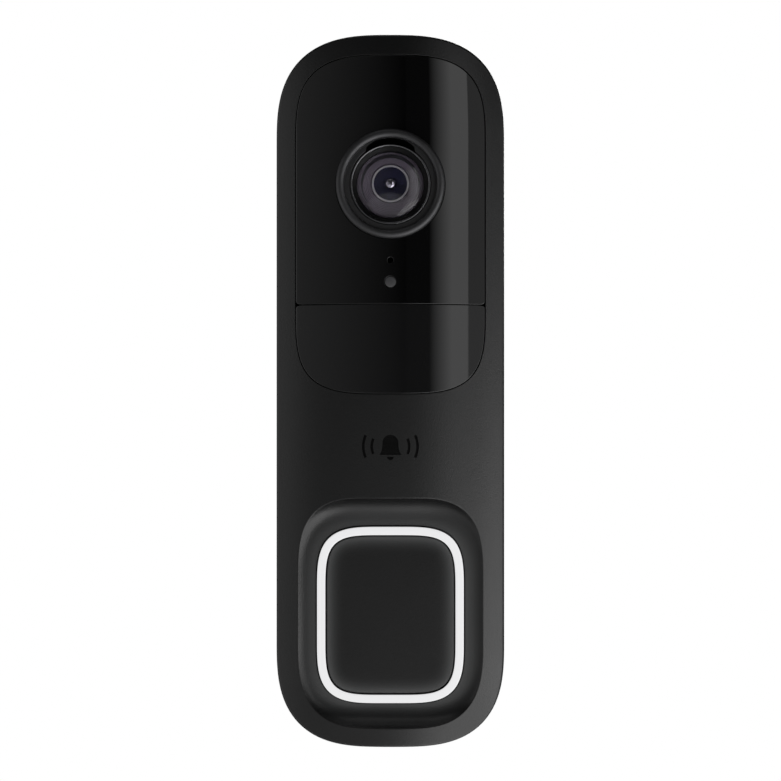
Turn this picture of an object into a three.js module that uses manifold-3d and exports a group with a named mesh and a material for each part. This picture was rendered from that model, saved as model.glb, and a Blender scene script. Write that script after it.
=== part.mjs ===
// Video doorbell on a wall bracket. Millimetres, +Z up, +X right, the front faces -Y.
// The origin is the middle of the bracket's back face, which lies on the wall (y = 0).
import * as THREE from 'three';
import { mergeVertices } from 'three/addons/utils/BufferGeometryUtils.js';
import Module from 'manifold-3d';

const wasm = await Module();
wasm.setup();

// ---- Driving sizes ----
const WIDTH = 44;
const DEPTH = 27; // wall to the crown of the front
const CROWN_RADIUS = 45; // the front is a cylinder about an upright axis
const END_DROP = 1.2; // how far the front falls back at its top and bottom edge
const END_LENGTH = 18; // length over which it falls back
const WALL = 2;
const FIT = 0.3; // between fixed neighbours
const SEAM = 0.22; // visible gap round windows, ring and cap

// ---- The front, from top to bottom ----
const TOP_MARGIN = 3.9; // body's top edge to the windows
const CAMERA_MARGIN = 14.34; // windows' top to the bezel
const BEZEL_RADIUS = 10.36;
const MIC_GAP = 4.09; // bezel to microphone
const LIGHT_SENSOR_GAP = 4.13; // microphone to light sensor
const SPLIT_GAP = 4.19; // light sensor to the end of the camera window
const PIR_WINDOW_HEIGHT = 17.1;
const EMBLEM_BAND = 19.8; // windows to the dish
const DISH_UPPER_MARGIN = 5.6; // dish's upper edge to the ring
const RING_HEIGHT = 33.86;
const DISH_LOWER_MARGIN = 4.34;
const BOTTOM_MARGIN = 3.62;

const CAMERA_WINDOW_HEIGHT =
  CAMERA_MARGIN + 2 * BEZEL_RADIUS + MIC_GAP + LIGHT_SENSOR_GAP + SPLIT_GAP;
const HEIGHT = TOP_MARGIN + CAMERA_WINDOW_HEIGHT + PIR_WINDOW_HEIGHT + EMBLEM_BAND
  + DISH_UPPER_MARGIN + RING_HEIGHT + DISH_LOWER_MARGIN + BOTTOM_MARGIN;
const TOP = HEIGHT / 2;
const WINDOWS_TOP = TOP - TOP_MARGIN;
const CAMERA_Z = WINDOWS_TOP - CAMERA_MARGIN - BEZEL_RADIUS;
const MIC_Z = CAMERA_Z - BEZEL_RADIUS - MIC_GAP;
const LIGHT_SENSOR_Z = MIC_Z - LIGHT_SENSOR_GAP;
const SPLIT_Z = WINDOWS_TOP - CAMERA_WINDOW_HEIGHT;
const PIR_Z = SPLIT_Z - PIR_WINDOW_HEIGHT / 2;
const WINDOWS_BOTTOM = SPLIT_Z - PIR_WINDOW_HEIGHT;
const EMBLEM_Z = WINDOWS_BOTTOM - EMBLEM_BAND / 2;
const RING_TOP = WINDOWS_BOTTOM - EMBLEM_BAND - DISH_UPPER_MARGIN;
const RING_BOTTOM = RING_TOP - RING_HEIGHT;

// ---- Outlines: half width, top, bottom and superellipse corners (across, up, power) ----
const BODY = {
  half: WIDTH / 2,
  top: TOP,
  bottom: -TOP,
  upper: { across: 20.7, up: 20, power: 2.83 },
  lower: { across: 19.2, up: 19.2, power: 2.87 },
};
const WINDOW_MARGIN = 3.73; // from the body's side to the windows
const WINDOWS = {
  half: WIDTH / 2 - WINDOW_MARGIN,
  top: WINDOWS_TOP,
  bottom: WINDOWS_BOTTOM,
  upper: { across: 18.27, up: 17.6, power: 3.46 },
  lower: { across: 17.9, up: 16.8, power: 3.6 },
};
const RING_MARGIN = 7.9; // from the body's side to the ring
const RING_WIDTH = 1.65;
const RING_CORNER = { across: 12.6, up: 12.4, power: 3.5 };
const RING = {
  half: WIDTH / 2 - RING_MARGIN,
  top: RING_TOP,
  bottom: RING_BOTTOM,
  upper: RING_CORNER,
  lower: RING_CORNER,
};
const CAP_CORNER = { across: 12, up: 12.2, power: 4.4 };
const CAP = {
  half: RING.half - RING_WIDTH,
  top: RING.top - RING_WIDTH,
  bottom: RING.bottom + RING_WIDTH,
  upper: CAP_CORNER,
  lower: CAP_CORNER,
};
const DISH_FLARE = 2.6; // width of the dish's curved wall
const DISH_CORNER = { across: 11.9, up: 13, power: 2.8 };
const DISH_FLOOR = {
  half: RING.half + 3.2,
  top: RING.top + DISH_UPPER_MARGIN - DISH_FLARE,
  bottom: RING.bottom - DISH_LOWER_MARGIN + DISH_FLARE,
  upper: DISH_CORNER,
  lower: DISH_CORNER,
};

// ---- Depths (y), from the wall forward ----
const BRACKET_THICKNESS = 2;
const BRACKET_MARGIN = 0.6; // between the bracket and the rear cover's skirt
const SKIRT_BACK = -0.4;
const PLATE_BACK = -5.4;
const PLATE_FRONT = PLATE_BACK - 1.8;
const RIM_FRONT = PLATE_FRONT - 1.5;
const RIM_WIDTH = 3.2;
const PARTING = RIM_FRONT - FIT;
const MAIN_BOARD_BACK = PLATE_FRONT - 1.4;
const BOARD = 1.2;
const MAIN_BOARD_FRONT = MAIN_BOARD_BACK - BOARD;
const FRONT = -DEPTH;
const WINDOW_THICKNESS = 1.6;
const BED_THICKNESS = 1.6; // ledge behind the windows
const DISH_DEPTH = 4.1;
const DISH_Y = FRONT + DISH_DEPTH;
const RING_PROUD = 0.7;
const CAP_PROUD = 0.35;
const RING_BACK = DISH_Y + WALL + FIT + 0.8;
const CAP_FLANGE = 0.8;
const CAP_BACK = RING_BACK + 0.4 + CAP_FLANGE;
const BUTTON_TRAVEL = 0.5;
const SEAL_THICKNESS = 0.8;
const RING_BOARD_FRONT = CAP_BACK + BUTTON_TRAVEL + 0.1 + SEAL_THICKNESS + FIT;
const RING_BOARD_BACK = RING_BOARD_FRONT + 1;
const SENSOR_BOARD_FRONT = FRONT + 7;
const SENSOR_BOARD_BACK = SENSOR_BOARD_FRONT + 1;

// ---- Camera ----
const BEZEL_ROLL = 0.82; // radius of the bezel's rounded rim
const LENS_RADIUS = 6.18;
const BARREL_RADIUS = 7.3;
const CAMERA_LENGTH = 13.8; // crown to the camera board
const CAMERA_BOARD_FRONT = FRONT + CAMERA_LENGTH;
const CAMERA_BOARD_BACK = CAMERA_BOARD_FRONT + 1;
const HOLDER_HALF_WIDTH = 11;
const HOLDER_HALF_HEIGHT = 8;
const HOLDER_LENGTH = 5;
const FILTER_STROKE = 6;

// ---- Screws and wiring ----
const SCREW_RADIUS = 1;
const POST_RADIUS = 2.6;
const POST_CLEARANCE = 0.2;
const SCREW_HEAD = 1.9;
const LOCK_TAB_HALF = 4.5;
const LOWER_POST_X = LOCK_TAB_HALF + SCREW_HEAD + 2.4;
const UPPER_POST_X = WIDTH / 2 - WALL - POST_RADIUS - 1.4;
const LOWER_POST_Z = lowerEdge(LOWER_POST_X + 0.7 * SCREW_HEAD) + WALL + SCREW_HEAD + 0.2;
const POSTS = [
  [UPPER_POST_X, TOP - 13.8],
  [-UPPER_POST_X, TOP - 13.8],
  [LOWER_POST_X, LOWER_POST_Z],
  [-LOWER_POST_X, LOWER_POST_Z],
];
const MAIN_BOARD = { bottom: WINDOWS_BOTTOM + 2, top: CAMERA_Z + 11 };
const TERMINAL_Z = MAIN_BOARD.bottom + 19;
const TERMINAL_HALF = 7;
const CABLE_WINDOW = { half: 7, bottom: TERMINAL_Z + 8.8, top: TERMINAL_Z + 21.7 };
const SLOT_Z = TOP - 16.3;
const TAMPER = [WIDTH / 2 - 9, MAIN_BOARD.bottom + 5.4];
const LOCK_Y = -3.4; // axis of the security screw
const SPEAKER_RADIUS = 9.4;
const SPEAKER_Z = WINDOWS_BOTTOM - SPEAKER_RADIUS;

const CORNER_STEPS = 7;

// Height of the body's lower edge at x.
function lowerEdge(x) {
  const { across, up, power } = BODY.lower;
  const share = Math.max(0, x - BODY.half + Math.min(across, BODY.half)) / Math.min(across, BODY.half);
  return -TOP + up * (1 - (1 - share ** power) ** (1 / power));
}

// ---- Geometry helpers ----
function solid(geometry) {
  const bare = geometry.index ? geometry.toNonIndexed() : geometry.clone();
  bare.deleteAttribute('normal');
  bare.deleteAttribute('uv');
  const merged = mergeVertices(bare, 1e-4);
  return new wasm.Manifold(new wasm.Mesh({
    numProp: 3,
    vertProperties: merged.attributes.position.array,
    triVerts: new Uint32Array(merged.index.array),
  }));
}

function toGeometry(body) {
  const mesh = body.getMesh();
  const geometry = new THREE.BufferGeometry();
  geometry.setAttribute('position', new THREE.BufferAttribute(mesh.vertProperties, 3));
  geometry.setIndex(new THREE.BufferAttribute(mesh.triVerts, 1));
  geometry.computeVertexNormals();
  return geometry;
}

// Closed outline in x and z with superellipse corners, moved inwards by inset.
function outline(frame, inset = 0) {
  const points = [];
  const quarters = [
    [1, 1, frame.upper, frame.top],
    [-1, 1, frame.upper, frame.top],
    [-1, -1, frame.lower, frame.bottom],
    [1, -1, frame.lower, frame.bottom],
  ];
  quarters.forEach(([sideX, sideZ, corner, edge], quarter) => {
    for (let step = 0; step <= CORNER_STEPS; step++) {
      const share = quarter % 2 === 0 ? step / CORNER_STEPS : 1 - step / CORNER_STEPS;
      const across = Math.min(corner.across, frame.half);
      const up = Math.min(corner.up, (frame.top - frame.bottom) / 2);
      const u = Math.cos(share * Math.PI / 2) ** (2 / corner.power);
      const v = Math.sin(share * Math.PI / 2) ** (2 / corner.power);
      const normal = new THREE.Vector2(
        u ** (corner.power - 1) / across,
        v ** (corner.power - 1) / up,
      ).normalize();
      const x = frame.half - across * (1 - u) - inset * normal.x;
      const z = sideZ * edge - up * (1 - v) - inset * normal.y;
      const point = new THREE.Vector2(sideX * x, sideZ * z);
      if (!points.length || point.distanceTo(points.at(-1)) > 0.02) points.push(point);
    }
  });
  if (points[0].distanceTo(points.at(-1)) < 0.02) points.pop();
  return points;
}

function rectangle(half, bottom, top, radius) {
  const corner = { across: radius, up: radius, power: 2 };
  return outline({ half, top, bottom, upper: corner, lower: corner });
}

// A flat piece of the given outline between two depths.
function plate(points, back, front, x = 0) {
  const shape = new THREE.Shape(points);
  const geometry = new THREE.ExtrudeGeometry(shape, { depth: back - front, bevelEnabled: false });
  geometry.rotateX(Math.PI / 2);
  geometry.translate(x, back, 0);
  return solid(geometry);
}

// A bowl-shaped cutter: flat at floorY, its wall curving out by flare over rise.
function bowl(points, floorY, rise, flare) {
  const geometry = new THREE.ExtrudeGeometry(new THREE.Shape(points), {
    depth: 6,
    bevelEnabled: true,
    bevelThickness: rise,
    bevelSize: flare,
    bevelSegments: 5,
  });
  geometry.rotateX(Math.PI / 2);
  geometry.translate(0, floorY - rise, 0);
  return solid(geometry);
}

function rod(x, z, radius, back, front, sides = 20) {
  const geometry = new THREE.CylinderGeometry(radius, radius, back - front, sides);
  geometry.translate(x, (back + front) / 2, z);
  return solid(geometry);
}

function uprightRod(x, y, radius, bottom, top, sides = 20) {
  const geometry = new THREE.CylinderGeometry(radius, radius, top - bottom, sides);
  geometry.rotateX(Math.PI / 2);
  geometry.translate(x, y, (top + bottom) / 2);
  return solid(geometry);
}

function block([x0, x1], [y0, y1], [z0, z1]) {
  const geometry = new THREE.BoxGeometry(x1 - x0, y1 - y0, z1 - z0);
  geometry.translate((x0 + x1) / 2, (y0 + y1) / 2, (z0 + z1) / 2);
  return solid(geometry);
}

// A body turned about an axis along y. Its profile of [radius, y] runs forward on the outer side.
function turned(profile, x, z, sides = 36) {
  const points = profile.map(([radius, y]) => new THREE.Vector2(radius, y)).reverse();
  const geometry = new THREE.LatheGeometry(points, sides);
  geometry.translate(x, 0, z);
  return solid(geometry);
}

function arcPoints(centreR, centreY, radius, from, to, steps) {
  const points = [];
  for (let step = 0; step <= steps; step++) {
    const angle = from + (to - from) * step / steps;
    points.push([centreR + radius * Math.cos(angle), centreY + radius * Math.sin(angle)]);
  }
  return points;
}

// ---- The curved front ----
function frontY(x, z) {
  const crown = CROWN_RADIUS - Math.sqrt(CROWN_RADIUS ** 2 - x ** 2);
  const past = Math.max(0, Math.abs(z) - (TOP - END_LENGTH)) / END_LENGTH;
  return FRONT + crown + END_DROP * past ** 2;
}

// Everything behind the front surface moved back by offset. Its rows crowd towards the ends.
function behindFront(offset) {
  const geometry = new THREE.BoxGeometry(WIDTH + 4, DEPTH, HEIGHT + 4, 12, 1, 10);
  const position = geometry.attributes.position;
  for (let index = 0; index < position.count; index++) {
    const share = position.getZ(index) / (TOP + 2);
    const z = Math.sign(share) * (TOP + 2) * (1 - (1 - Math.abs(share)) ** 2);
    const isFront = position.getY(index) < 0;
    const y = isFront ? frontY(position.getX(index), z) + offset : 5;
    position.setXYZ(index, position.getX(index), y, z);
  }
  return solid(geometry);
}

const DEEP_FRONT = FRONT - 8;

function skin(points, outer, inner) {
  return plate(points, 0, DEEP_FRONT).intersect(behindFront(outer)).subtract(behindFront(inner));
}

// ---- Assembly ----
const doorbell = new THREE.Group();

function addPart(name, body, color, roughness, metalness = 0) {
  const material = new THREE.MeshStandardMaterial({ color, roughness, metalness });
  const mesh = new THREE.Mesh(toGeometry(body), material);
  mesh.name = name;
  doorbell.add(mesh);
}

const MATTE_BLACK = 0x1b1b1c;
const GLOSS_BLACK = 0x0c0c0e;
const BOARD_GREEN = 0x14402a;
const STEEL = 0xb4b6b8;
const RUBBER = 0x161616;

// Bell and sound arcs, sunk into the front between the windows and the dish.
function emblemCut() {
  const depth = 0.35;
  const bell = new THREE.Shape();
  bell.moveTo(-2.1, -1.6);
  bell.lineTo(2.1, -1.6);
  bell.quadraticCurveTo(1.5, -0.9, 1.5, 0.4);
  bell.absarc(0, 0.7, 1.5, 0, Math.PI, false);
  bell.quadraticCurveTo(-1.5, -0.9, -2.1, -1.6);
  const clapper = new THREE.Shape();
  clapper.absarc(0, -1.95, 0.65, Math.PI, 2 * Math.PI, false);
  const strokes = [bell, clapper];
  for (const side of [0, Math.PI]) {
    for (const radius of [3.8, 5.4]) {
      const arc = new THREE.Shape();
      arc.absarc(0, 0, radius, side - 0.42, side + 0.42, false);
      arc.absarc(0, 0, radius - 0.5, side + 0.42, side - 0.42, true);
      strokes.push(arc);
    }
  }
  const cutters = strokes.map((shape) => {
    const geometry = new THREE.ExtrudeGeometry(shape, { depth: 8, bevelEnabled: false, curveSegments: 5 });
    geometry.rotateX(Math.PI / 2);
    geometry.translate(0, FRONT + 4, EMBLEM_Z);
    return solid(geometry);
  });
  return cutters.reduce((all, cutter) => all.add(cutter)).subtract(behindFront(depth));
}

function makeFrontCover() {
  const outer = plate(outline(BODY), PARTING, DEEP_FRONT).intersect(behindFront(0));
  const cavity = plate(outline(BODY, WALL), PARTING + 1, DEEP_FRONT).intersect(behindFront(WALL));
  const bed = skin(outline(WINDOWS, -1.6), 0, WINDOW_THICKNESS + FIT + BED_THICKNESS);
  const pocket = plate(outline(WINDOWS), 0, DEEP_FRONT).subtract(behindFront(WINDOW_THICKNESS + FIT));
  const tray = bowl(outline(DISH_FLOOR, -WALL), DISH_Y + WALL, DISH_DEPTH + WALL, DISH_FLARE);
  const dish = bowl(outline(DISH_FLOOR), DISH_Y, DISH_DEPTH, DISH_FLARE);
  let cover = outer.subtract(cavity).add(bed).add(outer.intersect(tray));
  for (const [x, z] of POSTS) {
    cover = cover.add(rod(x, z, POST_RADIUS, PARTING, FRONT).intersect(outer));
  }
  for (const [x, z] of POSTS) {
    cover = cover.subtract(rod(x, z, SCREW_RADIUS + FIT, PARTING + 1, PARTING - 6, 16));
  }
  cover = cover.subtract(pocket).subtract(dish);
  cover = cover.subtract(plate(outline(RING, -SEAM), FRONT + 20, DEEP_FRONT));
  cover = cover.subtract(rod(0, CAMERA_Z, BEZEL_RADIUS + 0.6, PARTING, DEEP_FRONT, 40));
  cover = cover.subtract(rod(0, MIC_Z, 2.4, PARTING, DEEP_FRONT));
  cover = cover.subtract(rod(0, LIGHT_SENSOR_Z, 1.4, PARTING, DEEP_FRONT, 16));
  cover = cover.subtract(plate(rectangle(11, PIR_Z - 6, PIR_Z + 6, 2), PARTING, DEEP_FRONT));
  for (const x of [-IR_LED_X, IR_LED_X]) {
    cover = cover.subtract(rod(x, IR_LED_Z, 2.6, PARTING, DEEP_FRONT, 16));
  }
  return cover.subtract(holderRoom()).subtract(speakerSlots()).subtract(emblemCut());
}

function speakerSlots() {
  const slots = [];
  for (const side of [-1, 1]) {
    for (let row = 0; row < 3; row++) {
      const y = PARTING - 4 - 2.2 * row;
      const x = side * WIDTH / 2;
      slots.push(block([x - 3, x + 3], [y - 0.5, y + 0.5], [SPEAKER_Z - 4.5, SPEAKER_Z + 4.5]));
    }
  }
  return slots.reduce((all, slot) => all.add(slot));
}

// ---- Housing: covers, gasket, screws ----
function rearCover() {
  const backPlate = plate(outline(BODY), PLATE_BACK, PLATE_FRONT);
  const skirt = plate(outline(BODY), SKIRT_BACK, PLATE_FRONT)
    .subtract(plate(outline(BODY, WALL), 1, PLATE_BACK));
  const rim = plate(outline(BODY), PLATE_BACK, RIM_FRONT)
    .subtract(plate(outline(BODY, RIM_WIDTH), 1, DEEP_FRONT));
  let cover = backPlate.add(skirt).add(rim);
  for (const [x, z] of POSTS) {
    cover = cover.add(rod(x, z, POST_RADIUS, PLATE_BACK, RIM_FRONT));
  }
  for (const [x, z] of POSTS) {
    cover = cover.subtract(rod(x, z, SCREW_RADIUS + FIT, 1, DEEP_FRONT, 16));
  }
  const groove = plate(outline(BODY, 1.2), PLATE_FRONT - 0.3, DEEP_FRONT)
    .subtract(plate(outline(BODY, 2.6), 1, DEEP_FRONT - 1));
  const hookPocket = block([-HOOK_HALF - 0.6, HOOK_HALF + 0.6], [HOOK_FRONT - 1, HOOK_BACK + 0.4],
    [TOP - WALL - 2, HOOK_TOP + 0.4]);
  const lockSlot = block([-LOCK_RADIUS - FIT, LOCK_RADIUS + FIT], [LOCK_Y - LOCK_RADIUS - FIT, 1],
    [-TOP - 1, -TOP + WALL + 1]);
  const lockRecess = block([-LOCK_HEAD - 0.4, LOCK_HEAD + 0.4], [LOCK_Y - LOCK_HEAD - 0.4, 1],
    [-TOP - 1, -TOP + LOCK_HEAD_HEIGHT + 0.4]);
  const terminalHole = plate(
    rectangle(TERMINAL_HALF + FIT, TERMINAL_Z - 5 - FIT, TERMINAL_Z + 5 + FIT, 0.8), 1, DEEP_FRONT);
  const tamperHole = block([TAMPER[0] - 3.1, TAMPER[0] + 3.1], [-10, 1], [TAMPER[1] - 3.1, TAMPER[1] + 3.1]);
  return cover.subtract(groove).subtract(hookPocket).subtract(lockSlot).subtract(lockRecess)
    .subtract(terminalHole).subtract(tamperHole);
}

function caseGasket() {
  return plate(outline(BODY, 1.5), PLATE_FRONT - 0.6, RIM_FRONT)
    .subtract(plate(outline(BODY, 2.3), 1, DEEP_FRONT));
}

function caseScrew(x, z) {
  const headBack = PLATE_BACK + FIT + 1.2;
  const head = rod(x, z, SCREW_HEAD, headBack, PLATE_BACK + FIT, 20);
  const shank = rod(x, z, SCREW_RADIUS, headBack - 0.7, PARTING - 5, 16);
  const recess = block([x - 1.1, x + 1.1], [headBack - 0.6, headBack + 1], [z - 0.25, z + 0.25])
    .add(block([x - 0.25, x + 0.25], [headBack - 0.6, headBack + 1], [z - 1.1, z + 1.1]));
  return head.add(shank).subtract(recess);
}

// ---- Wall bracket and its screw ----
const HOOK_HALF = 8;
const HOOK_BACK = -1.4;
const HOOK_FRONT = -2.4;
const HOOK_TOP = TOP - 1.3;
const LOCK_RADIUS = 1;
const LOCK_HEAD = 1.9;
const LOCK_HEAD_HEIGHT = 0.9;

function mountingBracket() {
  const inset = WALL + BRACKET_MARGIN;
  let bracket = plate(outline(BODY, inset), 0, -BRACKET_THICKNESS);
  const rail = plate(outline(BODY, inset + 1.4), 0, -BRACKET_THICKNESS - 1.2)
    .subtract(plate(outline(BODY, inset + 2.6), 1, DEEP_FRONT));
  bracket = bracket.add(rail);
  bracket = bracket.subtract(block([-HOOK_HALF - 1, HOOK_HALF + 1], [HOOK_BACK, 1], [TOP - inset - 2, TOP]));
  bracket = bracket.add(block([-HOOK_HALF, HOOK_HALF], [HOOK_FRONT, HOOK_BACK], [TOP - inset - 4, HOOK_TOP]));
  bracket = bracket.add(block([-LOCK_TAB_HALF, LOCK_TAB_HALF], [PLATE_BACK + 0.4, -1], [-TOP + WALL + 0.9, -TOP + WALL + 4.5]));
  bracket = bracket.subtract(uprightRod(0, LOCK_Y, LOCK_RADIUS + FIT, -TOP, -TOP + WALL + 9, 16));
  bracket = bracket.subtract(plate(
    rectangle(CABLE_WINDOW.half, CABLE_WINDOW.bottom, CABLE_WINDOW.top, 2), 1, DEEP_FRONT));
  for (const z of [-SLOT_Z, SLOT_Z]) {
    bracket = bracket.subtract(plate(rectangle(2.3, z - 5, z + 5, 2.2), 1, DEEP_FRONT));
  }
  return bracket.subtract(rod(...TAMPER, 3, 1, DEEP_FRONT));
}

function securityScrew() {
  const headTop = -TOP + LOCK_HEAD_HEIGHT;
  const screw = uprightRod(0, LOCK_Y, LOCK_HEAD, -TOP, headTop, 20)
    .add(uprightRod(0, LOCK_Y, LOCK_RADIUS, headTop - 0.2, headTop + 6, 16));
  return screw.subtract(uprightRod(0, LOCK_Y, 0.9, -TOP - 1, -TOP + 0.55, 6));
}

// ---- Windows ----
const IR_LED_X = 7;
const IR_LED_Z = CAMERA_Z + BEZEL_RADIUS + 5.6;

function cameraWindow() {
  const above = block([-WIDTH, WIDTH], [-2 * DEPTH, 1], [SPLIT_Z + SEAM / 2, HEIGHT]);
  return skin(outline(WINDOWS, SEAM), 0, WINDOW_THICKNESS)
    .intersect(above)
    .subtract(rod(0, CAMERA_Z, BEZEL_RADIUS + SEAM, 0, DEEP_FRONT, 36))
    .subtract(rod(0, MIC_Z, 0.57, 0, DEEP_FRONT, 16))
    .subtract(rod(0, LIGHT_SENSOR_Z, 1.02 + SEAM, 0, DEEP_FRONT, 20));
}

function pirWindow() {
  const below = block([-WIDTH, WIDTH], [-2 * DEPTH, 1], [-HEIGHT, SPLIT_Z - SEAM / 2]);
  return skin(outline(WINDOWS, SEAM), 0, WINDOW_THICKNESS).intersect(below);
}

// ---- Camera module ----
function cameraBezel() {
  const rollY = FRONT - 0.35;
  const rollR = BEZEL_RADIUS - BEZEL_ROLL;
  const stepY = FRONT + 0.05;
  return turned([
    [LENS_RADIUS + 0.44, FRONT + 3],
    [BEZEL_RADIUS, FRONT + 3],
    ...arcPoints(rollR, rollY, BEZEL_ROLL, 0, -Math.PI, 8),
    [rollR - BEZEL_ROLL, stepY],
    [LENS_RADIUS + 1.6, stepY],
    [LENS_RADIUS + 1.5, FRONT + 0.5],
    [LENS_RADIUS + 0.44, FRONT + 0.9],
    [LENS_RADIUS + 0.44, FRONT + 3],
  ], 0, CAMERA_Z);
}

function domedLens(radius, apexY, sag, edge, sides = 36) {
  const curve = (radius ** 2 + sag ** 2) / (2 * sag);
  const sweep = Math.asin(radius / curve);
  const dome = arcPoints(0, apexY + curve, curve, -Math.PI / 2 + sweep, -Math.PI / 2, 6)
    .map(([r, y]) => [Math.max(0, r), y]);
  dome[dome.length - 1][0] = 0;
  return turned([[0, apexY + sag + edge], [radius, apexY + sag + edge], ...dome], 0, CAMERA_Z, sides);
}

const LENS_APEX = FRONT;
const LENS_BACK = LENS_APEX + 2.6;
const BARREL_FRONT = LENS_BACK + FIT;
const HOLDER_FRONT = CAMERA_BOARD_FRONT - FIT - HOLDER_LENGTH;
const FILTER_Y = HOLDER_FRONT + 3.2;

function lensBarrel() {
  const shoulder = BARREL_FRONT + 0.5;
  const seat = Math.min(shoulder + 4.4, HOLDER_FRONT - FIT - 0.4);
  return turned([
    [3.3, HOLDER_FRONT + 2.2],
    [5.4, HOLDER_FRONT + 2.2],
    [5.4, HOLDER_FRONT - FIT],
    [BARREL_RADIUS, HOLDER_FRONT - FIT],
    [BARREL_RADIUS, shoulder],
    [LENS_RADIUS, shoulder],
    [LENS_RADIUS, BARREL_FRONT],
    [5.2, BARREL_FRONT],
    [5.2, seat],
    [3.3, seat],
    [3.3, HOLDER_FRONT + 2.2],
  ], 0, CAMERA_Z, 32);
}

function lensRetainer() {
  return turned([
    [3.1, BARREL_FRONT + 1.4],
    [4.9, BARREL_FRONT + 1.4],
    [4.9, BARREL_FRONT + 0.3],
    [3.5, BARREL_FRONT + 0.7],
    [3.1, BARREL_FRONT + 0.7],
    [3.1, BARREL_FRONT + 1.4],
  ], 0, CAMERA_Z, 32);
}

function lensHolder() {
  const box = (half, high, back, front) =>
    block([-half, half], [front, back], [CAMERA_Z - high, CAMERA_Z + high]);
  return box(HOLDER_HALF_WIDTH, HOLDER_HALF_HEIGHT, CAMERA_BOARD_FRONT - FIT, HOLDER_FRONT)
    .subtract(box(HOLDER_HALF_WIDTH - 1.2, HOLDER_HALF_HEIGHT - 2, CAMERA_BOARD_FRONT, FILTER_Y - 0.4))
    .subtract(rod(0, CAMERA_Z, 5.4 + FIT, 0, DEEP_FRONT, 32));
}

// Space kept free round the lens holder.
function holderRoom() {
  return block(
    [-HOLDER_HALF_WIDTH - 0.5, HOLDER_HALF_WIDTH + 0.5],
    [HOLDER_FRONT - 0.4, 0],
    [CAMERA_Z - HOLDER_HALF_HEIGHT - 0.5, CAMERA_Z + HOLDER_HALF_HEIGHT + 0.5]);
}

function cameraBoard(clearance = 0) {
  const halfWidth = HOLDER_HALF_WIDTH + clearance;
  const halfHeight = HOLDER_HALF_HEIGHT + 1.5 + clearance;
  return block([-halfWidth, halfWidth], [CAMERA_BOARD_FRONT - clearance, CAMERA_BOARD_BACK + clearance],
    [CAMERA_Z - halfHeight, CAMERA_Z + halfHeight]);
}

function filterFrame() {
  return block([-3.2, FILTER_STROKE + 3.2], [FILTER_Y, FILTER_Y + 0.7], [CAMERA_Z - 4, CAMERA_Z + 4])
    .subtract(rod(0, CAMERA_Z, 2.5, 0, DEEP_FRONT))
    .subtract(rod(FILTER_STROKE, CAMERA_Z, 2.5, 0, DEEP_FRONT));
}

function boardShape(inset, bottom, top) {
  return (back, front) => plate(outline(BODY, inset), back, front)
    .intersect(block([-WIDTH, WIDTH], [-2 * DEPTH, 1], [bottom, top]));
}

function clearOfPosts(board) {
  return POSTS.reduce(
    (rest, [x, z]) => rest.subtract(rod(x, z, POST_RADIUS + POST_CLEARANCE, 1, DEEP_FRONT)), board);
}

// ---- Boards ----
function mainBoard() {
  return clearOfPosts(boardShape(4.2, MAIN_BOARD.bottom, MAIN_BOARD.top)(MAIN_BOARD_BACK, MAIN_BOARD_FRONT))
    .subtract(cameraBoard(0.5))
    .subtract(holderRoom());
}

function sensorBoard() {
  const board = boardShape(6, WINDOWS_BOTTOM + 2.3, WINDOWS_TOP - 2.6)(SENSOR_BOARD_BACK, SENSOR_BOARD_FRONT);
  return clearOfPosts(board)
    .subtract(rod(0, CAMERA_Z, BARREL_RADIUS + 0.8, 0, DEEP_FRONT, 32))
    .subtract(holderRoom());
}

// A chip on the front face of a board.
function chip(x, z, halfX, halfZ, boardFront, height) {
  return block([x - halfX, x + halfX], [boardFront - FIT - height, boardFront - FIT], [z - halfZ, z + halfZ]);
}

// ---- Button group ----
function lightRing() {
  const band = plate(outline(RING), RING_BACK, DISH_Y - RING_PROUD);
  const flange = clearOfPosts(plate(outline(RING, -0.6), RING_BACK, RING_BACK - 0.8));
  return band.add(flange).subtract(plate(outline(CAP), 1, DEEP_FRONT));
}

function buttonCap() {
  const body = plate(outline(CAP, SEAM), CAP_BACK, DISH_Y - CAP_PROUD);
  const flange = plate(outline(CAP, -0.9), CAP_BACK, CAP_BACK - CAP_FLANGE);
  const hollow = plate(outline(CAP, SEAM + 1.6), CAP_BACK + 1, DISH_Y + 1.5);
  return body.add(flange).subtract(hollow).add(rod(0, BUTTON_Z, 2, PLUNGER_FRONT - FIT, DISH_Y + 1));
}

const BUTTON_Z = (RING.top + RING.bottom) / 2;
const SWITCH_FRONT = RING_BOARD_FRONT - FIT - 2;
const PLUNGER_FRONT = SWITCH_FRONT - 1.1;

function buttonSeal() {
  const back = RING_BOARD_FRONT - FIT;
  return clearOfPosts(plate(outline(RING, -0.4), back, back - SEAL_THICKNESS))
    .subtract(plate(outline(CAP, 2.4), 1, DEEP_FRONT));
}

function switchBody() {
  return block([-3, 3], [SWITCH_FRONT, RING_BOARD_FRONT - FIT], [BUTTON_Z - 3, BUTTON_Z + 3])
    .subtract(rod(0, BUTTON_Z, 1.8, SWITCH_FRONT + 1.6, DEEP_FRONT));
}

// ---- Speaker ----
const SPEAKER_BACK = PLATE_FRONT - 1;

function speakerFrame() {
  return turned([
    [4.6, SPEAKER_BACK - 1.4],
    [SPEAKER_RADIUS - 1.6, SPEAKER_BACK - 1.4],
    [SPEAKER_RADIUS, SPEAKER_BACK - 3],
    [SPEAKER_RADIUS, SPEAKER_BACK - 5],
    [SPEAKER_RADIUS - 1.2, SPEAKER_BACK - 5],
    [SPEAKER_RADIUS - 1.2, SPEAKER_BACK - 3.4],
    [SPEAKER_RADIUS - 2.2, SPEAKER_BACK - 2.4],
    [4.6, SPEAKER_BACK - 2.4],
    [4.6, SPEAKER_BACK - 1.4],
  ], 0, SPEAKER_Z, 32);
}

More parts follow.
